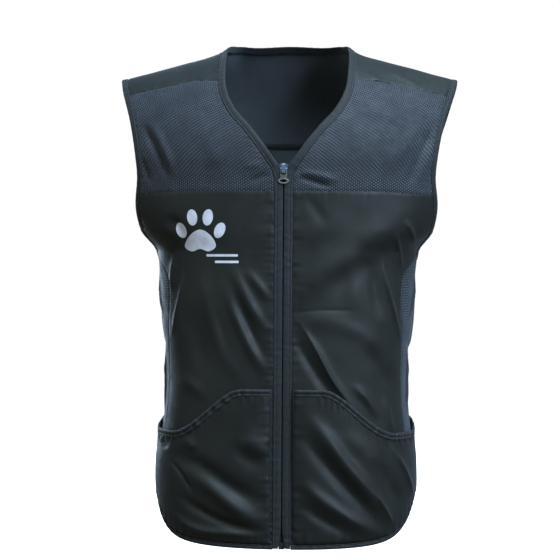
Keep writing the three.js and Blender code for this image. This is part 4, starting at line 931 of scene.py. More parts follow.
def woven_tape(name, color):
    """Zip tape in a herringbone weave."""
    f = Finish(name)
    weave = f.node("SeparateXYZ", f.weave_place())
    zigzag = f.node("Math", weave.outputs[0], 2.4 * MM, operation="PINGPONG")
    bone = f.wave(f.math("ADD", zigzag, weave.outputs[1]), 0.7 * MM)
    tone = f.spread(f.math("ADD", f.math("MULTIPLY", bone, 0.18), f.noise(0.004)), 0.0, 1.0)
    f.base(f.shade(tone, color, 0.7, 1.35), f.spread(f.noise(0.003), 0.66, 0.8))
    f.bump(f.math("ADD", bone, f.noise(0.0008, 2)), 0.12 * MM, 0.5)
    f.settings(Sheen_Weight=0.1, Specular_IOR_Level=0.3)
    return f.material


def sewing_thread(name, color):
    """Polyester thread with a visible twist."""
    f = Finish(name)
    twist = f.noise(0.0006, 2)
    f.base(f.shade(f.spread(twist, 0.0, 1.0), color, 0.75, 1.3), f.spread(twist, 0.42, 0.6))
    f.bump(twist, 0.08 * MM, 0.5)
    f.settings(Sheen_Weight=0.1, Specular_IOR_Level=0.4)
    return f.material


def moulded_nylon(name, color):
    """Dark nylon with a soft gloss and faint draw marks."""
    f = Finish(name)
    marks = f.noise(0.0009, 3)
    tone = f.spread(f.noise(0.004), 0.0, 1.0)
    f.base(f.shade(tone, color, 0.8, 1.25), f.spread(marks, 0.3, 0.46))
    f.bump(marks, 0.03 * MM, 0.4)
    f.settings(Specular_IOR_Level=0.5, IOR=1.53)
    return f.material


def worn_metal(name, color, bare, metallic, roughness, coat=0.0):
    """Plated or lacquered zinc: bright where edges have rubbed, with fine scuffs."""
    f = Finish(name)
    edge = f.node("NewGeometry").outputs["Pointiness"]
    scuff = f.noise(0.0012, 5, 0.7)
    rubbed = f.spread(f.math("ADD", edge, f.math("MULTIPLY", scuff, 0.12)), 0.0, 1.0, 0.58, 0.68)
    grime = f.spread(f.noise(0.003, 4), 0.0, 1.0, 0.3, 0.75)
    face = f.blend(rubbed, f.shade(grime, color, 0.72, 1.15), rgb(bare))
    f.base(face, f.spread(scuff, roughness - 0.08, roughness + 0.14))
    f.bump(scuff, 0.05 * MM, 0.35)
    f.settings(Metallic=metallic, Coat_Weight=coat, Coat_Roughness=0.15)
    return f.material


def silver_film(name, color):
    """Heat-applied reflective film: a fine beaded face with slight waves."""
    f = Finish(name)
    beads = f.noise(0.0007, 2, 0.7)
    drift = f.noise(0.012, 3)
    f.base(f.shade(f.spread(drift, 0.0, 1.0), color, 0.86, 1.08), f.spread(beads, 0.36, 0.52))
    f.bump(f.math("ADD", beads, drift), 0.05 * MM, 0.4)
    f.settings(Metallic=0.0, Specular_IOR_Level=0.5, Sheen_Weight=0.1)
    return f.material


# ------------------------------------------------------------------ sizes and colours that can be changed
def number(name, description, default, **kind):
    return bpy.props.FloatProperty(name=name, description=description, default=default, **kind)


def length(name, description, default, low=0):
    kind = {"subtype": "DISTANCE", "unit": "LENGTH", "precision": 5}
    return number(name, description, default, min=low, **kind)


def watts(name, description, default):
    return number(name, description, default, min=0, subtype="POWER")


def colour(name, description, default):
    return bpy.props.FloatVectorProperty(
        name=name, description=description, default=default, size=3, min=0, max=1, subtype="COLOR"
    )


class VestCloth(bpy.types.PropertyGroup):
    """Cloth of the panels, yokes and pockets"""

    thickness: length("Thickness", "Thickness of the cloth", 0.8 * MM)
    seam_dip: length("Seam Dip", "How far the cloth sinks into a seam", 0.5 * MM)
    pucker: length("Pucker", "Height of the small gathers beside a seam", 0.2 * MM)
    slackness: number("Folds", "Strength of the large folds", 1.7, min=0)
    eyelet_pitch: length("Eyelet Pitch", "Distance between the mesh's eyelets", 3.2 * MM)
    eyelet: length("Eyelet", "Width of one eyelet", 1.45 * MM)
    softshell: colour("Softshell", "Body cloth", (0.0082, 0.0098, 0.0084))
    shoulder: colour("Shoulder Cloth", "Cloth of the shoulder yoke", (0.0076, 0.0112, 0.0094))
    mesh: colour("Mesh", "Mesh of the front yokes and sides", (0.0104, 0.0130, 0.0186))
    # Eyelets: pale colour painted into the mesh's holes, painted light of a lit surface seen through them.
    eyelets: colour("Eyelets", "What shows through the eyelets", (0.105, 0.118, 0.134))
    # Inside: much lighter than the face cloth, painted light so that the shaded inside of the vest reads as
    # lit.
    lining_painted_light: colour("Inside", "Brushed inside of the body cloth", (0.050, 0.058, 0.066))
    film: colour("Film", "Reflective emblem", (0.68, 0.68, 0.78))


class VestEdging(bpy.types.PropertyGroup):
    """Folded tape round the edges, the zip facings and their stitching"""

    rib: length("Rib", "Width of one rib of the edging", 0.9 * MM)
    stitch_length: length("Stitch", "Length of one stitch", 1.7 * MM)
    stitch_gap: length("Stitch Gap", "Gap between stitches", 1.1 * MM)
    thread: length("Thread", "Thickness of the thread", 0.5 * MM)
    edging: colour("Edging", "Edging tape", (0.0110, 0.0140, 0.0142))
    facing: colour("Facing", "Strips beside the zip", (0.0120, 0.0155, 0.0165))
    thread_colour: colour("Thread", "Topstitching", (0.0030, 0.0036, 0.0040))


class VestZip(bpy.types.PropertyGroup):
    """Zip chain, slider and puller"""

    coil_pitch: length("Coil Pitch", "Distance between turns of the coil", 1.3 * MM)
    filament: length("Filament", "Thickness of the coil's filament", 0.5 * MM)
    nylon: colour("Nylon", "Coil and retainer", (0.012, 0.013, 0.015))
    tape: colour("Tape", "Zip tape", (0.012, 0.014, 0.016))
    lacquer: colour("Slider", "Slider's lacquer", (0.06, 0.095, 0.17))
    pewter: colour("Pewter", "Puller, pins and stops", (0.17, 0.18, 0.168))


class VestStage(bpy.types.PropertyGroup):
    """Camera, floor and lights"""

    distance: length("Distance", "Camera to the vest's centre plane", 2.2)
    camera_z: length("Camera Height", "Height of the camera", -0.278, low=-10)
    turn: number("Turn", "Camera's turn to the wearer's left", math.radians(3), subtype="ANGLE")
    roll: number("Roll", "Camera's roll", math.radians(0.4), subtype="ANGLE")
    width: length("View Width", "Width of the view at the vest", 0.728)
    aside: length("Aside", "Shift of the view to the side", -0.00975, low=-1)
    floor_drop: length("Floor", "Floor below the hem", 0.12)
    key: watts("Key", "Power of the light at the upper right", 62.0)
    fill: watts("Fill", "Power of the light at the left", 8.0)
    top: watts("Top", "Power of the overhead light", 84.0)
    rear: watts("Rear", "Power of the light behind the vest", 62.0)
    sky: number("Sky", "Brightness of the surroundings", 0.14, min=0)
    backdrop: number("Backdrop", "Brightness behind the vest", 1.02, min=0)


GROUPS = {
    "vest_cloth": VestCloth,
    "vest_edging": VestEdging,
    "vest_zip": VestZip,
    "vest_stage": VestStage,
}
SIDES = (("left", False), ("right", True))


def edging_material(scene):
    edging = scene.vest_edging
    return kept("edging tape", lambda name: ribbed_tape(name, edging.edging, edging.rib))


def thread_material(scene):
    return kept("topstitch thread", lambda name: sewing_thread(name, scene.vest_edging.thread_colour))


def body_cloth(scene):
    cloth = scene.vest_cloth
    return [
        kept("softshell face", lambda name: softshell(name, cloth.softshell, 0.12)),
        # The inside material's colour carries painted light for the shaded inside.
        kept("softshell inside", lambda name: softshell(name, cloth.lining_painted_light, 0.3, 0.78)),
    ]


def mesh_cloth(scene):
    cloth = scene.vest_cloth
    sizes = cloth.eyelet_pitch, cloth.eyelet
    return [
        # The face's eyelets get the painted light colour. The inside's eyelets keep the mesh colour.
        kept("mesh face", lambda name: air_mesh(name, cloth.mesh, cloth.eyelets, *sizes)),
        kept("mesh inside", lambda name: air_mesh(name, cloth.mesh, cloth.mesh, *sizes)),
    ]


def finish_part(piece, slot, *nodes):
    """Puts a piece on the vest, in place of its CAD solids where it has some."""
    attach(piece, "vest")
    if nodes:
        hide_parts(*nodes)


def finish_sheet(made, slot, nodes):
    """Puts a sheet of cloth on the vest."""
    piece, spans, area = made
    finish_part(piece, slot, *nodes)


# ------------------------------------------------------------------ cut of the panels
FRONT_CELL, YOKE_CELL, SIDE_CELL, BACK_CELL = 1.5 * MM, 1.8 * MM, 2 * MM, 2.2 * MM


def yoke_grid(cell):
    heights = np.linspace(YOKE_SEAM_Z, FACING_TOP, 60)[:-1]
    inner = np.vstack([panel_edge(heights), NECK_INNER[: NECK_SEAM + 1]])
    outer = arm_stretch(ARM_TOP_SEAM, ARM_YOKE_SEAM)[::-1]
    return even_grid(YOKE_SEAM, TOP_SEAM, inner, outer, cell)


def front_grid(cell):
    bottom = HEM_INNER[: HEM_FRONT_SIDE + 1]
    outer = np.vstack([FRONT_SIDE_SEAM[::-1], arm_stretch(ARM_YOKE_SEAM, ARM_FRONT_SIDE)[-2::-1]])
    columns = rows_for((bottom, YOKE_SEAM), cell)
    outer = evenly(outer, rows_for((outer,), cell))
    climb = (outer[:, 2] - outer[0, 2]) / (outer[-1, 2] - outer[0, 2])
    inner = panel_edge(mix(bottom[0, 2], YOKE_SEAM_Z, climb))
    return on_body(coons(evenly(bottom, columns), evenly(YOKE_SEAM, columns), inner, outer))


def side_grid(cell):
    bottom = HEM_INNER[HEM_FRONT_SIDE : HEM_BACK_SIDE + 1]
    top = arm_stretch(ARM_FRONT_SIDE, ARM_BACK_SIDE)
    return even_grid(bottom, top, FRONT_SIDE_SEAM[::-1], BACK_SIDE_SEAM[::-1], cell)


def back_grid(cell):
    bottom = HEM_INNER[HEM_BACK_SIDE : len(HEM_INNER) - HEM_BACK_SIDE]
    edge = np.vstack([BACK_SIDE_SEAM[::-1], arm_stretch(ARM_BACK_SIDE, ARM_BACK_YOKE)[1:]])
    return even_grid(bottom, BACK_YOKE_SEAM, edge, mirror(edge), cell)


def cape_grid(cell):
    neck = NECK_INNER[NECK_SEAM : len(NECK_INNER) - NECK_SEAM]
    round_arm = arm_stretch(ARM_BACK_YOKE, len(ARM_INNER) + ARM_TOP_SEAM)[::-1]
    rim = np.vstack([round_arm, BACK_YOKE_SEAM[1:-1], mirror(round_arm[::-1])])
    columns, rows = rows_for((rim,), cell), rows_for((TOP_SEAM,), cell)
    seam = evenly(TOP_SEAM, rows)
    return on_body(coons(evenly(neck, columns), evenly(rim, columns), seam, mirror(seam)))


POCKET_LEVEL_Z = -413 * MM
POCKET_DIP_Z = -469 * MM
POCKET_BACK_RISE = 16 * MM
POCKET_SEWN_OFFSET = 1.9 * MM
POCKET_FULLNESS = 9 * MM
POCKET_END = 180 - SIDE_SEAM_HEM_DEG - 3


def pocket_top(degrees):
    x = around_body(np.minimum(degrees, 90), POCKET_DIP_Z + 0 * degrees)[..., 0]
    drop = smooth((x - 50 * MM) / (86 * MM))
    climb = smooth((degrees - 74) / (POCKET_END - 74))
    return mix(POCKET_LEVEL_Z, POCKET_DIP_Z, drop) + POCKET_BACK_RISE * climb


POCKET_START = angle_at(FACING_HALF_WIDTH + 2.5 * MM, POCKET_LEVEL_Z)
POCKET_ANGLES = np.linspace(POCKET_START, POCKET_END, 300)
POCKET_OUTER = around_body(POCKET_ANGLES, pocket_top(POCKET_ANGLES))
POCKET_INNER = beside(POCKET_OUTER, -POCKET_BAND)


def pocket_grid(cell):
    foot = around_body(POCKET_ANGLES, hem_height(POCKET_ANGLES) + HEM_BAND + 2 * MM)
    columns = rows_for((foot, POCKET_INNER), cell)
    rows = int((POCKET_INNER[:, 2] - foot[:, 2]).max() / cell) + 2
    foot, mouth = evenly(foot, columns), evenly(POCKET_INNER, columns)
    climb = np.linspace(0, 1, rows)[:, None, None]
    return on_body(foot[None] * (1 - climb) + mouth[None] * climb)


def pocket_fullness(u, v):
    """Stand-off of the pocket: fullest towards the front and at its mouth, flat where it is sewn."""
    across = np.maximum(np.sin(math.pi * np.sqrt(u)), 0) ** 0.6 * (1 - u / 2)
    return POCKET_SEWN_OFFSET + POCKET_FULLNESS * across * np.minimum(1, 1.6 * v) ** 0.7


# ------------------------------------------------------------------ relief of the panels
def folded(grid, real, cloth, folds, face, seed, reach):
    """Relief of a panel with seams all round and folds that die out before them."""
    runs = edge_runs(grid)
    inside = clear_of_seams(runs, reach)
    relief = sewn(grid, runs, cloth, seed=seed)
    return relief + inside * fold_relief(folds, face, real) * cloth.slackness


def front_ease(p, cloth):
    """Folds of the front, which die out where the pocket covers it."""
    mouth = np.interp(np.abs(p[..., 0]), POCKET_OUTER[:, 0], POCKET_OUTER[:, 2])
    shown = smooth((p[..., 2] - mouth + 26 * MM) / (22 * MM))
    folds = fold_relief(FRONT_FOLDS, "front", p) * cloth.slackness
    return shown * folds + 0.16 * MM * ripples(p, 55 * MM, 4)


def front_relief(grid, cloth, seed):
    runs = edge_runs(grid)
    relief = sewn(grid, runs, cloth, seed=seed)
    beside_zip = 0.28 * MM * puckers(runs["bottom"], runs["left"], 17 * MM, 9 * MM, seed + 11)
    at_hem = 0.45 * MM * puckers(runs["bottom"], runs["left"], 5.5 * MM, 16 * MM, seed + 12)
    low = smooth(1 - runs["bottom"] / (60 * MM))
    return relief + (beside_zip + at_hem * low) * (1 - np.exp(-((runs["left"] / (1.2 * MM)) ** 2)))


def pocket_relief(grid, p, cloth, seed):
    rows, columns = grid.shape[:2]
    u = np.linspace(0, 1, columns)[None] + np.zeros((rows, 1))
    v = np.linspace(0, 1, rows)[:, None] + np.zeros((1, columns))
    runs = edge_runs(grid)
    relief = pocket_fullness(u, v) + sewn(grid, runs, cloth, ("top",), seed)
    inside = clear_of_seams(runs, 8 * MM, ("top",))
    relief += fold_relief(POCKET_FOLDS, "front", p) * cloth.slackness * inside
    relief += 0.5 * MM * puckers(runs["left"], runs["top"], 9 * MM, 7 * MM, seed + 3)
    relief += 0.45 * MM * puckers(runs["left"], runs["bottom"], 10 * MM, 9 * MM, seed + 4)
    relief += 0.25 * MM * puckers(runs["bottom"], runs["left"], 12 * MM, 9 * MM, seed + 5)
    return relief + 0.2 * MM * ripples(p, 40 * MM, seed + 6)


# ------------------------------------------------------------------ cross-sections of the bound edges
# Closed outlines of (share from the free edge to the seam, height in millimetres).
ROLLED_EDGE = [(1.05, -0.2), (1.06, 0.35), (1.0, 0.85), (0.92, 1.0), (0.84, 0.9), (0.77, 0.66)]
ROLLED_EDGE += [(0.7, 0.9), (0.58, 1.18), (0.42, 1.32), (0.24, 1.26), (0.1, 1.0), (0.01, 0.55)]
ROLLED_EDGE += [(-0.03, 0.0), (0.02, -0.6), (0.15, -1.1), (0.4, -1.3), (0.8, -1.35), (1.1, -1.3)]
ROLLED_EDGE += [(1.14, -1.0), (1.06, -0.7)]
DOUBLE_EDGE = [(1.05, -0.5), (1.06, 0.1), (1.0, 0.65), (0.9, 0.95), (0.78, 0.85), (0.67, 0.35)]
DOUBLE_EDGE += [(0.6, 0.3), (0.52, 0.75), (0.4, 1.25), (0.26, 1.4), (0.12, 1.2), (0.02, 0.7)]
DOUBLE_EDGE += [(-0.03, 0.0), (0.02, -0.6), (0.2, -0.9), (0.5, -0.9), (0.8, -0.8)]
FACING_FOLD = [(1.03, -0.35), (1.04, 0.4), (1.0, 0.95), (0.93, 1.22), (0.86, 1.15), (0.8, 0.95)]
FACING_FOLD += [(0.74, 0.62), (0.68, 0.88), (0.56, 1.05), (0.4, 1.0), (0.25, 0.82), (0.13, 0.66)]
FACING_FOLD += [(0.05, 0.5), (0.0, 0.2), (-0.01, -0.1), (0.03, -0.42), (0.5, -0.48), (0.9, -0.48)]
SEAM_TAPE = [(1.0, 0.0), (0.94, 0.22), (0.5, 0.3), (0.06, 0.22), (0.0, 0.0), (0.06, -0.22)]
SEAM_TAPE += [(0.5, -0.34), (0.94, -0.22)]
SEAM_TAPE_HALF_WIDTH = 4 * MM
SEAM_TAPE_LIFT = -1.55 * MM
# Where the topstitching runs in the grooves of these sections.
EDGE_STITCH = (0.77, 0.72)
FACING_STITCH = (0.74, 0.66)
POCKET_STITCH = (0.63, 0.36)


def rail(outer, inner, share, height, lift=0.0):
    """Line on a band at a share across it, with its normals."""
    base = mix(outer, inner, share)
    normal = outward(base)
    raised = np.broadcast_to(np.asarray(lift, float), len(base)) + height * MM
    return base + normal * raised[:, None], normal


def topstitch(name, outer, inner, groove, scene, lift=0.0, closed=False):
    line, normal = rail(outer, inner, *groove, lift)
    if closed:
        line, normal = np.vstack([line, line[:1]]), np.vstack([normal, normal[:1]])
    thread = stitches(name, line, normal, scene.vest_edging, thread_material(scene))
    finish_part(thread, "binding")


def facing_rails(count=420):
    """Parting edge and seam edge of the left facing, from hem to V."""
    t = np.linspace(0, 1, count)
    low, high = HEM_Z + 1 * MM, ZIP_TOP_Z - 1.2 * MM
    z = mix(low, high, t)
    over = np.clip((z - (high - 22.8 * MM)) / (22.8 * MM), 0, 1)
    under = np.clip(1 - (z - low) / (28 * MM), 0, 1)
    parting = 0.8 * MM + 5.7 * MM * (1 - np.sqrt(1 - over)) + 3.4 * MM * under**1.2
    seam_z = mix(low, FACING_TOP, t)
    return on_front(parting, z), on_front(facing_outer_x(seam_z), seam_z)


# ------------------------------------------------------------------ the zip's own frame
ZIP_LEAN = math.atan(FRONT_LEAN)
ZIP_LENGTH = (ZIP_TOP_Z - HEM_Z) / math.cos(ZIP_LEAN)
ZIP_PLACE = Matrix.Translation((0, -FRONT_DEPTH_CHEST, ZIP_TOP_Z)) @ Matrix.Rotation(ZIP_LEAN, 4, "X")


# Millimetres across and into the zip, and how far from its ends its parts stop.
TAPE_PROFILE = [(0.8, 2.36), (1.2, 2.3), (3, 2.34), (13, 2.34), (14.2, 2.3), (14.8, 2.45)]
TAPE_PROFILE += [(14.8, 2.75), (14.2, 2.9), (13, 2.78), (3, 2.78), (1.2, 2.85), (0.8, 2.75)]
TAPE_FOOT, TAPE_TOP = 8.5, -6.2
COIL_MIDDLE = (2.0, 4.1)
COIL_HALF_WIDTH, COIL_HALF_DEPTH = 1.2, 0.9
COIL_FOOT, COIL_TOP = 26.6, -2.6
COIL_STEPS = 10
GUARD_SPAN = (-15, 12)
GUARD_DEPTH = 7.8
GUARD_FOOT, GUARD_TOP = 3, -16


def on_zip(points):
    """From millimetres across, into and up the zip to the vest's frame."""
    turn = np.array(ZIP_PLACE.to_3x3())
    return (np.asarray(points, float) * MM) @ turn.T + np.array(ZIP_PLACE.translation)


def zip_tape(name, right, material):
    """Woven tape with a thicker selvedge cord along each edge."""
    up = np.linspace(-ZIP_LENGTH / MM + TAPE_FOOT, TAPE_TOP, 240)
    points = np.array([[(x, y, z) for x, y in TAPE_PROFILE] for z in up]).reshape(-1, 3)
    uv = points[:, [0, 2]] * MM
    vertices = handed(on_zip(points), right)
    return tube(name, vertices, len(up), len(TAPE_PROFILE), material, uv, sharp=60)


def zip_coil(name, right, settings, material):
    """One side of the chain: a filament wound into flattened turns."""
    start = -ZIP_LENGTH / MM + COIL_FOOT
    pitch = settings.coil_pitch / MM
    turns = int((COIL_TOP - start) / pitch)
    t = np.arange(turns * COIL_STEPS + 1) / COIL_STEPS
    angle = 2 * math.pi * t
    radius = settings.filament / MM / 2
    middle_x, middle_y = COIL_MIDDLE
    x = middle_x - (COIL_HALF_WIDTH - radius) * np.cos(angle)
    y = middle_y + (COIL_HALF_DEPTH - radius) * np.sin(angle)
    path = np.stack([x, y, start + t * pitch], -1)
    out = unit(path - np.stack([middle_x + 0 * t, middle_y + 0 * t, path[:, 2]], -1))
    side = unit(np.cross(unit(np.gradient(path, axis=0)), out))
    rings = rings_about(path, out, side, radius)
    vertices = handed(on_zip(rings.reshape(-1, 3)), right)
    return tube(name, vertices, len(path), rings.shape[1], material)


def zip_guard_grid():
    """Flat strip behind the zip, in the zip's frame."""
    up = np.linspace(-ZIP_LENGTH / MM + GUARD_FOOT, GUARD_TOP, 220)
    x, z = np.meshgrid(np.linspace(*GUARD_SPAN, 16), up)
    sway = 0.35 * ripples(np.stack([x, z], -1), 60, 17)
    return on_zip(np.stack([x, GUARD_DEPTH + sway, z], -1))


# ------------------------------------------------------------------ emblem
EMBLEM_X, EMBLEM_Z = -104 * MM, -218 * MM
PAW_PAD = [(0, 2), (14, -6), (20, -19), (11, -25), (0, -22), (-11, -25), (-20, -19), (-14, -6)]
TOES = [(-25, 1, 0.42), (-10, 17, 0.14), (10, 17, -0.14), (25, 1, -0.42)]
TOE_WIDTH, TOE_HEIGHT = 13, 20
RULES = [(28, -30, 40), (34, -38, 30)]
FILM_UNDER, FILM_OVER = 0.04 * MM, 0.34 * MM


def oval(x, z, across, tall, tilt, count=48):
    angle = np.arange(count) * 2 * math.pi / count
    a, b = across / 2 * np.cos(angle), tall / 2 * np.sin(angle)
    cosine, sine = math.cos(tilt), math.sin(tilt)
    return np.stack([x + a * cosine - b * sine, z + a * sine + b * cosine], -1)


def rule_outline(x, z, length, tall=3.0, round_off=0.5):
    """A short bar with slightly rounded corners."""
    points = []
    for k in range(4):
        cx = x + (length / 2 - round_off) * (1 if k in (0, 3) else -1)
        cz = z + (tall / 2 - round_off) * (1 if k < 2 else -1)
        for a in np.linspace(0, math.pi / 2, 4) + k * math.pi / 2:
            points.append((cx + round_off * math.cos(a), cz + round_off * math.sin(a)))
    return evenly(np.array(points + points[:1]), 80)[:-1]


def film(name, outline, cloth, material, step=1.6):
    """Thin film pressed on the folded front panel."""
    low, high = outline.min(axis=0), outline.max(axis=0)
    x, z = np.meshgrid(np.arange(low[0], high[0], step), np.arange(low[1], high[1], step))
    inside = np.stack([x.ravel(), z.ravel()], -1)
    nearest = np.linalg.norm(inside[:, None] - outline[None], axis=-1).min(axis=1)
    inside = inside[nearest > step * 0.45]
    edges = [(k, (k + 1) % len(outline)) for k in range(len(outline))]
    flat = [Vector(p) for p in np.vstack([outline, inside])]
    points, _, triangles, *_ = geometry.delaunay_2d_cdt(flat, edges, [], 1, 1e-5)
    flat = np.array(points) * MM + (EMBLEM_X, EMBLEM_Z)
    body = on_front(flat[:, 0], flat[:, 1])
    normal = outward(body)
    lift = front_ease(body, cloth) + cloth.thickness / 2
    outer = body + normal * (lift + FILM_OVER)[:, None]
    inner = body + normal * (lift + FILM_UNDER)[:, None]
    faces = np.array(triangles)
    if inward(faces[0], outer, normal):
        faces = faces[:, ::-1]
    count = len(outer)
    pairs = np.vstack([faces[:, [0, 1]], faces[:, [1, 2]], faces[:, [2, 0]]])
    known = {tuple(p) for p in pairs.tolist()}
    rim = [(b, a, a + count) for a, b in pairs.tolist() if (b, a) not in known]
    rim += [(b, a + count, b + count) for a, b in pairs.tolist() if (b, a) not in known]
    everything = np.vstack([faces, faces[:, ::-1] + count, np.array(rim)])
    return new_object(name, np.vstack([outer, inner]), everything, [material], sharp=40)


# ------------------------------------------------------------------ operators, one for each group of pieces
class VEST_OT_edging(bpy.types.Operator):
    """Make the folded tape round the neck, armholes and hem, with its stitching"""

    bl_idname = "vest.edging"
    bl_label = "Bound Edges"

    def execute(self, context):
        scene = context.scene
        tape = edging_material(scene)
        neck = band("bound_neck", NECK_OUTER, NECK_INNER, ROLLED_EDGE, tape, seed=21)
        finish_part(neck, "binding", "neck_binding")
        topstitch("neck_stitches", NECK_OUTER, NECK_INNER, EDGE_STITCH, scene)
        hem = band("bound_hem", HEM_OUTER, HEM_INNER, ROLLED_EDGE, tape, wobble=0.22 * MM, seed=22)
        finish_part(hem, "binding", "hem_binding")
        topstitch("hem_stitches", HEM_OUTER, HEM_INNER, EDGE_STITCH, scene)
        for side, right in SIDES:
            outer, inner = handed(ARM_OUTER, right), handed(ARM_INNER, right)
            arm = band(f"bound_armhole_{side}", outer, inner, ROLLED_EDGE, tape, closed=True, seed=23)
            finish_part(arm, "binding", f"armhole_binding_{side}")
            topstitch(f"armhole_stitches_{side}", outer, inner, EDGE_STITCH, scene, closed=True)
        return {"FINISHED"}


class VEST_OT_facings(bpy.types.Operator):
    """Make the two narrow strips that cover the zip"""

    bl_idname = "vest.facings"
    bl_label = "Zip Facings"

    def execute(self, context):
        scene = context.scene
        color = scene.vest_edging.facing
        cloth = kept("facing cloth", lambda name: ribbed_tape(name, color, 0.8 * MM))
        for side, right in SIDES:
            free, seam = (handed(line, right) for line in facing_rails())
            strip = band(f"zip_strip_{side}", free, seam, FACING_FOLD, cloth, seed=31 + right)
            finish_part(strip, "facing", f"front_facing_{side}")
            topstitch(f"zip_strip_stitches_{side}", free, seam, FACING_STITCH, scene)
        return {"FINISHED"}


class VEST_OT_zip(bpy.types.Operator):
    """Make the zip's tapes and coils, and finish its slider, puller, pins and stops"""

    bl_idname = "vest.zip"
    bl_label = "Zip"

    def execute(self, context):
        zip_set = context.scene.vest_zip
        tape = kept("zip tape weave", lambda name: woven_tape(name, zip_set.tape))
        nylon = kept("zip nylon", lambda name: moulded_nylon(name, zip_set.nylon))
        for side, right in SIDES:
            web = zip_tape(f"woven_tape_{side}", right, tape)
            finish_part(web, "zip_tape", f"zip_tape_{side}")
            coil = zip_coil(f"wound_coil_{side}", right, zip_set, nylon)
            finish_part(coil, "zip_nylon", f"zip_coil_{side}")
        grid = zip_guard_grid()
        flat = np.zeros(grid.shape[:2])
        cloth = context.scene.vest_cloth
        guard = cloth_sheet("zip_guard", grid, flat, cloth, body_cloth(context.scene))
        finish_sheet(guard, "softshell", [])
        pewter = worn_metal("pewter", zip_set.pewter, (0.42, 0.43, 0.41), 0.8, 0.52)
        lacquer = worn_metal("slider lacquer", zip_set.lacquer, (0.36, 0.42, 0.52), 0.3, 0.46, 0.3)
        plated = ["lock_spring", "puller", "zip_box_pin", "zip_insertion_pin"]
        finishes = {
            pewter: [*plated, "zip_top_stop_left", "zip_top_stop_right"],
            lacquer: ["slider_body", "slider_cap"],
            nylon: ["zip_retainer_box"],
        }
        for material, nodes in finishes.items():
            for node in nodes:
                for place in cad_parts[node].material_slots:
                    place.material = material
        return {"FINISHED"}


class VEST_OT_emblem(bpy.types.Operator):
    """Press the reflective paw print and its two rules on the chest"""

    bl_idname = "vest.emblem"
    bl_label = "Emblem"

    def execute(self, context):
        cloth = context.scene.vest_cloth
        silver = kept("reflective film", lambda name: silver_film(name, cloth.film))
        pad = evenly(through([*PAW_PAD], closed=True, steps=12), 90)[:-1]
        finish_part(film("paw_pad", pad, cloth, silver), "reflective_film", "emblem_pad")
        for k, (x, z, tilt) in enumerate(TOES, 1):
            toe = film(f"paw_toe_{k}", oval(x, z, TOE_WIDTH, TOE_HEIGHT, tilt), cloth, silver)
            finish_part(toe, "reflective_film", f"emblem_toe_{k}")
        for k, (x, z, length) in enumerate(RULES, 1):
            rule = film(f"print_rule_{k}", rule_outline(x, z, length), cloth, silver)
            finish_part(rule, "reflective_film", f"emblem_rule_{k}")
        return {"FINISHED"}


class VEST_OT_seam_tapes(bpy.types.Operator):
    """Make the narrow tapes that cover the seams on the inside"""

    bl_idname = "vest.seam_tapes"
    bl_label = "Seam Tapes"

    def execute(self, context):
        tape = edging_material(context.scene)
        seams = {"yoke": YOKE_SEAM, "top": TOP_SEAM}
        seams |= {"front_side": FRONT_SIDE_SEAM, "back_side": BACK_SIDE_SEAM}
        for part, seam in seams.items():
            for side, right in SIDES:
                self.cover(f"{part}_seam_tape_{side}", handed(seam, right)[4:-4], tape)
        self.cover("upper_back_seam_tape", BACK_YOKE_SEAM[4:-4], tape)
        self.cover("neck_seam_tape", NECK_INNER[NECK_SEAM:-NECK_SEAM], tape)
        return {"FINISHED"}

    def cover(self, name, line, tape):
        edges = beside(line, SEAM_TAPE_HALF_WIDTH), beside(line, -SEAM_TAPE_HALF_WIDTH)
        finish_part(band(name, *edges, SEAM_TAPE, tape, lift=SEAM_TAPE_LIFT), "binding")


class VEST_OT_pockets(bpy.types.Operator):
    """Make the two patch pockets and the bands along their mouths"""

    bl_idname = "vest.pockets"
    bl_label = "Pockets"

    def execute(self, context):
        scene = context.scene
        cloth = scene.vest_cloth
        materials = body_cloth(scene)
        tape = edging_material(scene)
        for side, right in SIDES:
            grid = pocket_grid(FRONT_CELL)
            relief = pocket_relief(grid, handed(grid, right), cloth, 41 + 7 * right)
            pocket = cloth_sheet(f"patch_pocket_{side}", grid, relief, cloth, materials, right)
            edges = handed(POCKET_OUTER, right), handed(POCKET_INNER, right)
            shares = (np.linspace(0, 1, count) for count in (len(POCKET_OUTER), relief.shape[1]))
            mouth = np.interp(*shares, relief[-1])
            name = f"pocket_band_{side}"
            lip = band(name, *edges, DOUBLE_EDGE, tape, lift=mouth, wobble=0.18 * MM, seed=45)
            finish_part(lip, "binding", f"pocket_binding_{side}")
            topstitch(f"pocket_stitches_{side}", *edges, POCKET_STITCH, scene, lift=mouth)
            finish_sheet(pocket, "softshell", [f"pocket_{side}"])
        return {"FINISHED"}


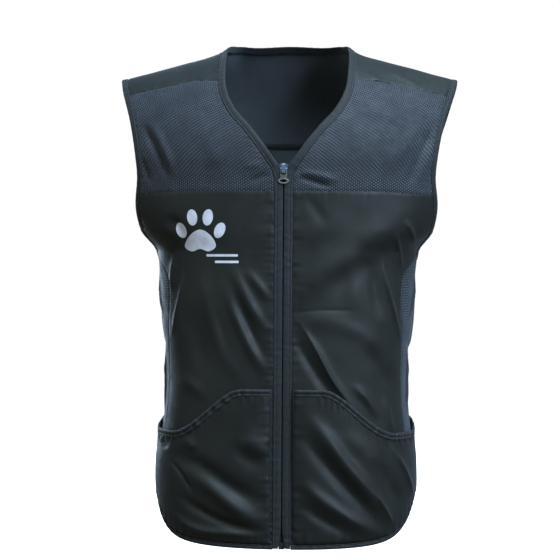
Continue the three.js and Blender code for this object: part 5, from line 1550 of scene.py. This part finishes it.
class VEST_OT_yokes(bpy.types.Operator):
    """Make the mesh front yokes and the solid yoke over the shoulders"""

    bl_idname = "vest.yokes"
    bl_label = "Yokes"

    def execute(self, context):
        scene = context.scene
        cloth = scene.vest_cloth
        materials = mesh_cloth(scene)
        for side, right in SIDES:
            grid = yoke_grid(YOKE_CELL)
            real = handed(grid, right)
            relief = folded(grid, real, cloth, YOKE_FOLDS, "front", 51 + right, 9 * MM)
            relief += 0.2 * MM * ripples(real, 50 * MM, 6)
            yoke = cloth_sheet(f"mesh_yoke_{side}", grid, relief, cloth, materials, right)
            finish_sheet(yoke, "mesh", [f"front_yoke_mesh_{side}"])
        shoulder = kept("shoulder cloth", lambda name: softshell(name, cloth.shoulder, 0.16, 0.56))
        grid = cape_grid(BACK_CELL)
        relief = sewn(grid, edge_runs(grid), cloth, seed=55)
        relief += 0.25 * MM * ripples(grid, 45 * MM, 7)
        relief += fold_relief(CAPE_FOLDS, "front", grid) * (grid[..., 1] < 0)
        materials = [shoulder, body_cloth(scene)[1]]
        yoke = cloth_sheet("shoulder_yoke", grid, relief, cloth, materials)
        finish_sheet(yoke, "yoke_softshell", ["back_yoke"])
        return {"FINISHED"}


class VEST_OT_panels(bpy.types.Operator):
    """Make the front, side and back panels"""

    bl_idname = "vest.panels"
    bl_label = "Panels"

    def execute(self, context):
        scene = context.scene
        cloth = scene.vest_cloth
        for side, right in SIDES:
            self.front(scene, cloth, side, right)
            self.underarm(scene, cloth, side, right)
        grid = back_grid(BACK_CELL)
        relief = folded(grid, grid, cloth, BACK_FOLDS, "back", 81, 7 * MM)
        relief += 0.3 * MM * ripples(grid, 60 * MM, 9)
        back = cloth_sheet("soft_back", grid, relief, cloth, body_cloth(scene))
        finish_sheet(back, "softshell", ["back_panel"])
        return {"FINISHED"}

    def front(self, scene, cloth, side, right):
        grid = front_grid(FRONT_CELL)
        relief = front_relief(grid, cloth, 61 + 5 * right)
        ease = front_ease(handed(grid, right), cloth)
        relief += ease * clear_of_seams(edge_runs(grid), 5 * MM)
        name = f"soft_front_{side}"
        panel = cloth_sheet(name, grid, relief, cloth, body_cloth(scene), right)
        finish_sheet(panel, "softshell", [f"front_panel_{side}"])

    def underarm(self, scene, cloth, side, right):
        grid = side_grid(SIDE_CELL)
        real = handed(grid, right)
        relief = folded(grid, real, cloth, SIDE_FOLDS, side, 71 + right, 7 * MM)
        relief += 0.25 * MM * ripples(real, 36 * MM, 8)
        panel = cloth_sheet(f"mesh_side_{side}", grid, relief, cloth, mesh_cloth(scene), right)
        finish_sheet(panel, "mesh", [f"side_mesh_panel_{side}"])


class VEST_OT_stage(bpy.types.Operator):
    """Set the pale floor, the soft studio lights and the camera"""

    bl_idname = "vest.stage"
    bl_label = "Stage"

    def execute(self, context):
        scene = context.scene
        stage = scene.vest_stage
        self.camera(scene, stage)
        self.floor(stage)
        self.sky(scene, stage)
        cool, warm = (0.62, 0.80, 1.0), (0.95, 1.0, 0.88)
        self.light("overhead", (0.35, -0.9, 1.9), 1.7, 1.1, stage.top, cool)
        self.light("key", (1.5, -1.6, 0.85), 0.9, 0.9, stage.key, cool)
        self.light("fill", (-1.8, -1.4, 0.5), 1.0, 1.2, stage.fill, warm)
        self.light("rear", (-1.1, 2.1, 0.1), 1.8, 1.4, stage.rear, cool)
        scene.view_settings.view_transform = "Standard"
        return {"FINISHED"}

    def camera(self, scene, stage):
        data = bpy.data.cameras.new("camera")
        data.sensor_width = 36
        data.lens = data.sensor_width * stage.distance / stage.width
        camera = bpy.data.objects.new("camera", data)
        scene.collection.objects.link(camera)
        turn = Matrix.Rotation(stage.turn, 4, "Z")
        place = turn @ Vector((stage.aside, -stage.distance, stage.camera_z))
        upright = Matrix.Rotation(math.pi / 2, 4, "X") @ Matrix.Rotation(stage.roll, 4, "Z")
        camera.matrix_world = Matrix.Translation(place) @ turn @ upright
        scene.camera = camera

    def floor(self, stage):
        z = HEM_Z - stage.floor_drop
        reach = 30.0
        lines = np.concatenate([-np.geomspace(reach, 0.3, 12), np.geomspace(0.3, reach, 12)])
        x, y = np.meshgrid(lines, lines)
        points = np.stack([x, y, z + 0 * x], -1).reshape(-1, 3)
        f = Finish("pale floor")
        speckle = f.noise(0.02, 4)
        f.base(f.shade(speckle, (1, 1, 1), 0.88, 0.93), f.spread(speckle, 0.75, 0.9))
        f.settings(Specular_IOR_Level=0.0, Emission_Color=(1, 1, 1, 1))
        f.settings(Emission_Strength=max(stage.backdrop - 0.9 * stage.sky, 0))
        floor = new_object("floor", points, grid_faces(len(lines), len(lines)), [f.material])
        floor.visible_diffuse = False
        floor.visible_glossy = False

    def sky(self, scene, stage):
        """Soft even surroundings, with a brighter plain backdrop for the camera."""
        world = bpy.data.worlds.new("soft studio")
        world.use_nodes = True
        tree = world.node_tree
        seen = tree.nodes.new("ShaderNodeLightPath").outputs["Is Camera Ray"]
        level = tree.nodes.new("ShaderNodeMapRange")
        level.inputs["To Min"].default_value = stage.sky
        level.inputs["To Max"].default_value = stage.backdrop
        tree.links.new(seen, level.inputs["Value"])
        tint = tree.nodes.new("ShaderNodeMix")
        tint.data_type = "RGBA"
        tint.inputs[6].default_value = (0.95, 1.0, 0.86, 1)
        tint.inputs[7].default_value = (1, 1, 1, 1)
        tree.links.new(seen, tint.inputs[0])
        tree.links.new(tint.outputs[2], tree.nodes["Background"].inputs["Color"])
        tree.links.new(level.outputs["Result"], tree.nodes["Background"].inputs["Strength"])
        scene.world = world

    def light(self, name, place, width, height, power, tint):
        data = bpy.data.lights.new(name, "AREA")
        data.shape = "RECTANGLE"
        data.size, data.size_y, data.energy, data.color = width, height, power, tint
        lamp = bpy.data.objects.new(name, data)
        bpy.context.scene.collection.objects.link(lamp)
        lamp.location = place
        aim = Vector((0, 0, -0.3)) - Vector(place)
        lamp.rotation_euler = aim.to_track_quat("-Z", "Y").to_euler()


STEPS = [
    VEST_OT_stage,
    VEST_OT_edging,
    VEST_OT_facings,
    VEST_OT_zip,
    VEST_OT_emblem,
    VEST_OT_seam_tapes,
    VEST_OT_pockets,
    VEST_OT_yokes,
    VEST_OT_panels,
]


class VEST_PT_sidebar(bpy.types.Panel):
    """Sizes, colours and steps of the vest"""

    bl_idname = "VEST_PT_sidebar"
    bl_label = "Training Vest"
    bl_space_type = "VIEW_3D"
    bl_region_type = "UI"
    bl_category = "Vest"

    def draw(self, context):
        for group, kind in GROUPS.items():
            box = self.layout.box()
            box.label(text=kind.__doc__)
            for key in kind.__annotations__:
                box.prop(getattr(context.scene, group), key)
        for step in STEPS:
            self.layout.operator(step.bl_idname)


CLASSES = [*GROUPS.values(), *STEPS, VEST_PT_sidebar]


def register():
    for kind in CLASSES:
        bpy.utils.register_class(kind)
    for group, kind in GROUPS.items():
        setattr(bpy.types.Scene, group, bpy.props.PointerProperty(type=kind))


def unregister():
    for group in GROUPS:
        delattr(bpy.types.Scene, group)
    for kind in reversed(CLASSES):
        bpy.utils.unregister_class(kind)


def main():
    register()
    for step in STEPS:
        family, name = step.bl_idname.split(".")
        getattr(getattr(bpy.ops, family), name)()


if __name__ == "__main__":
    main()
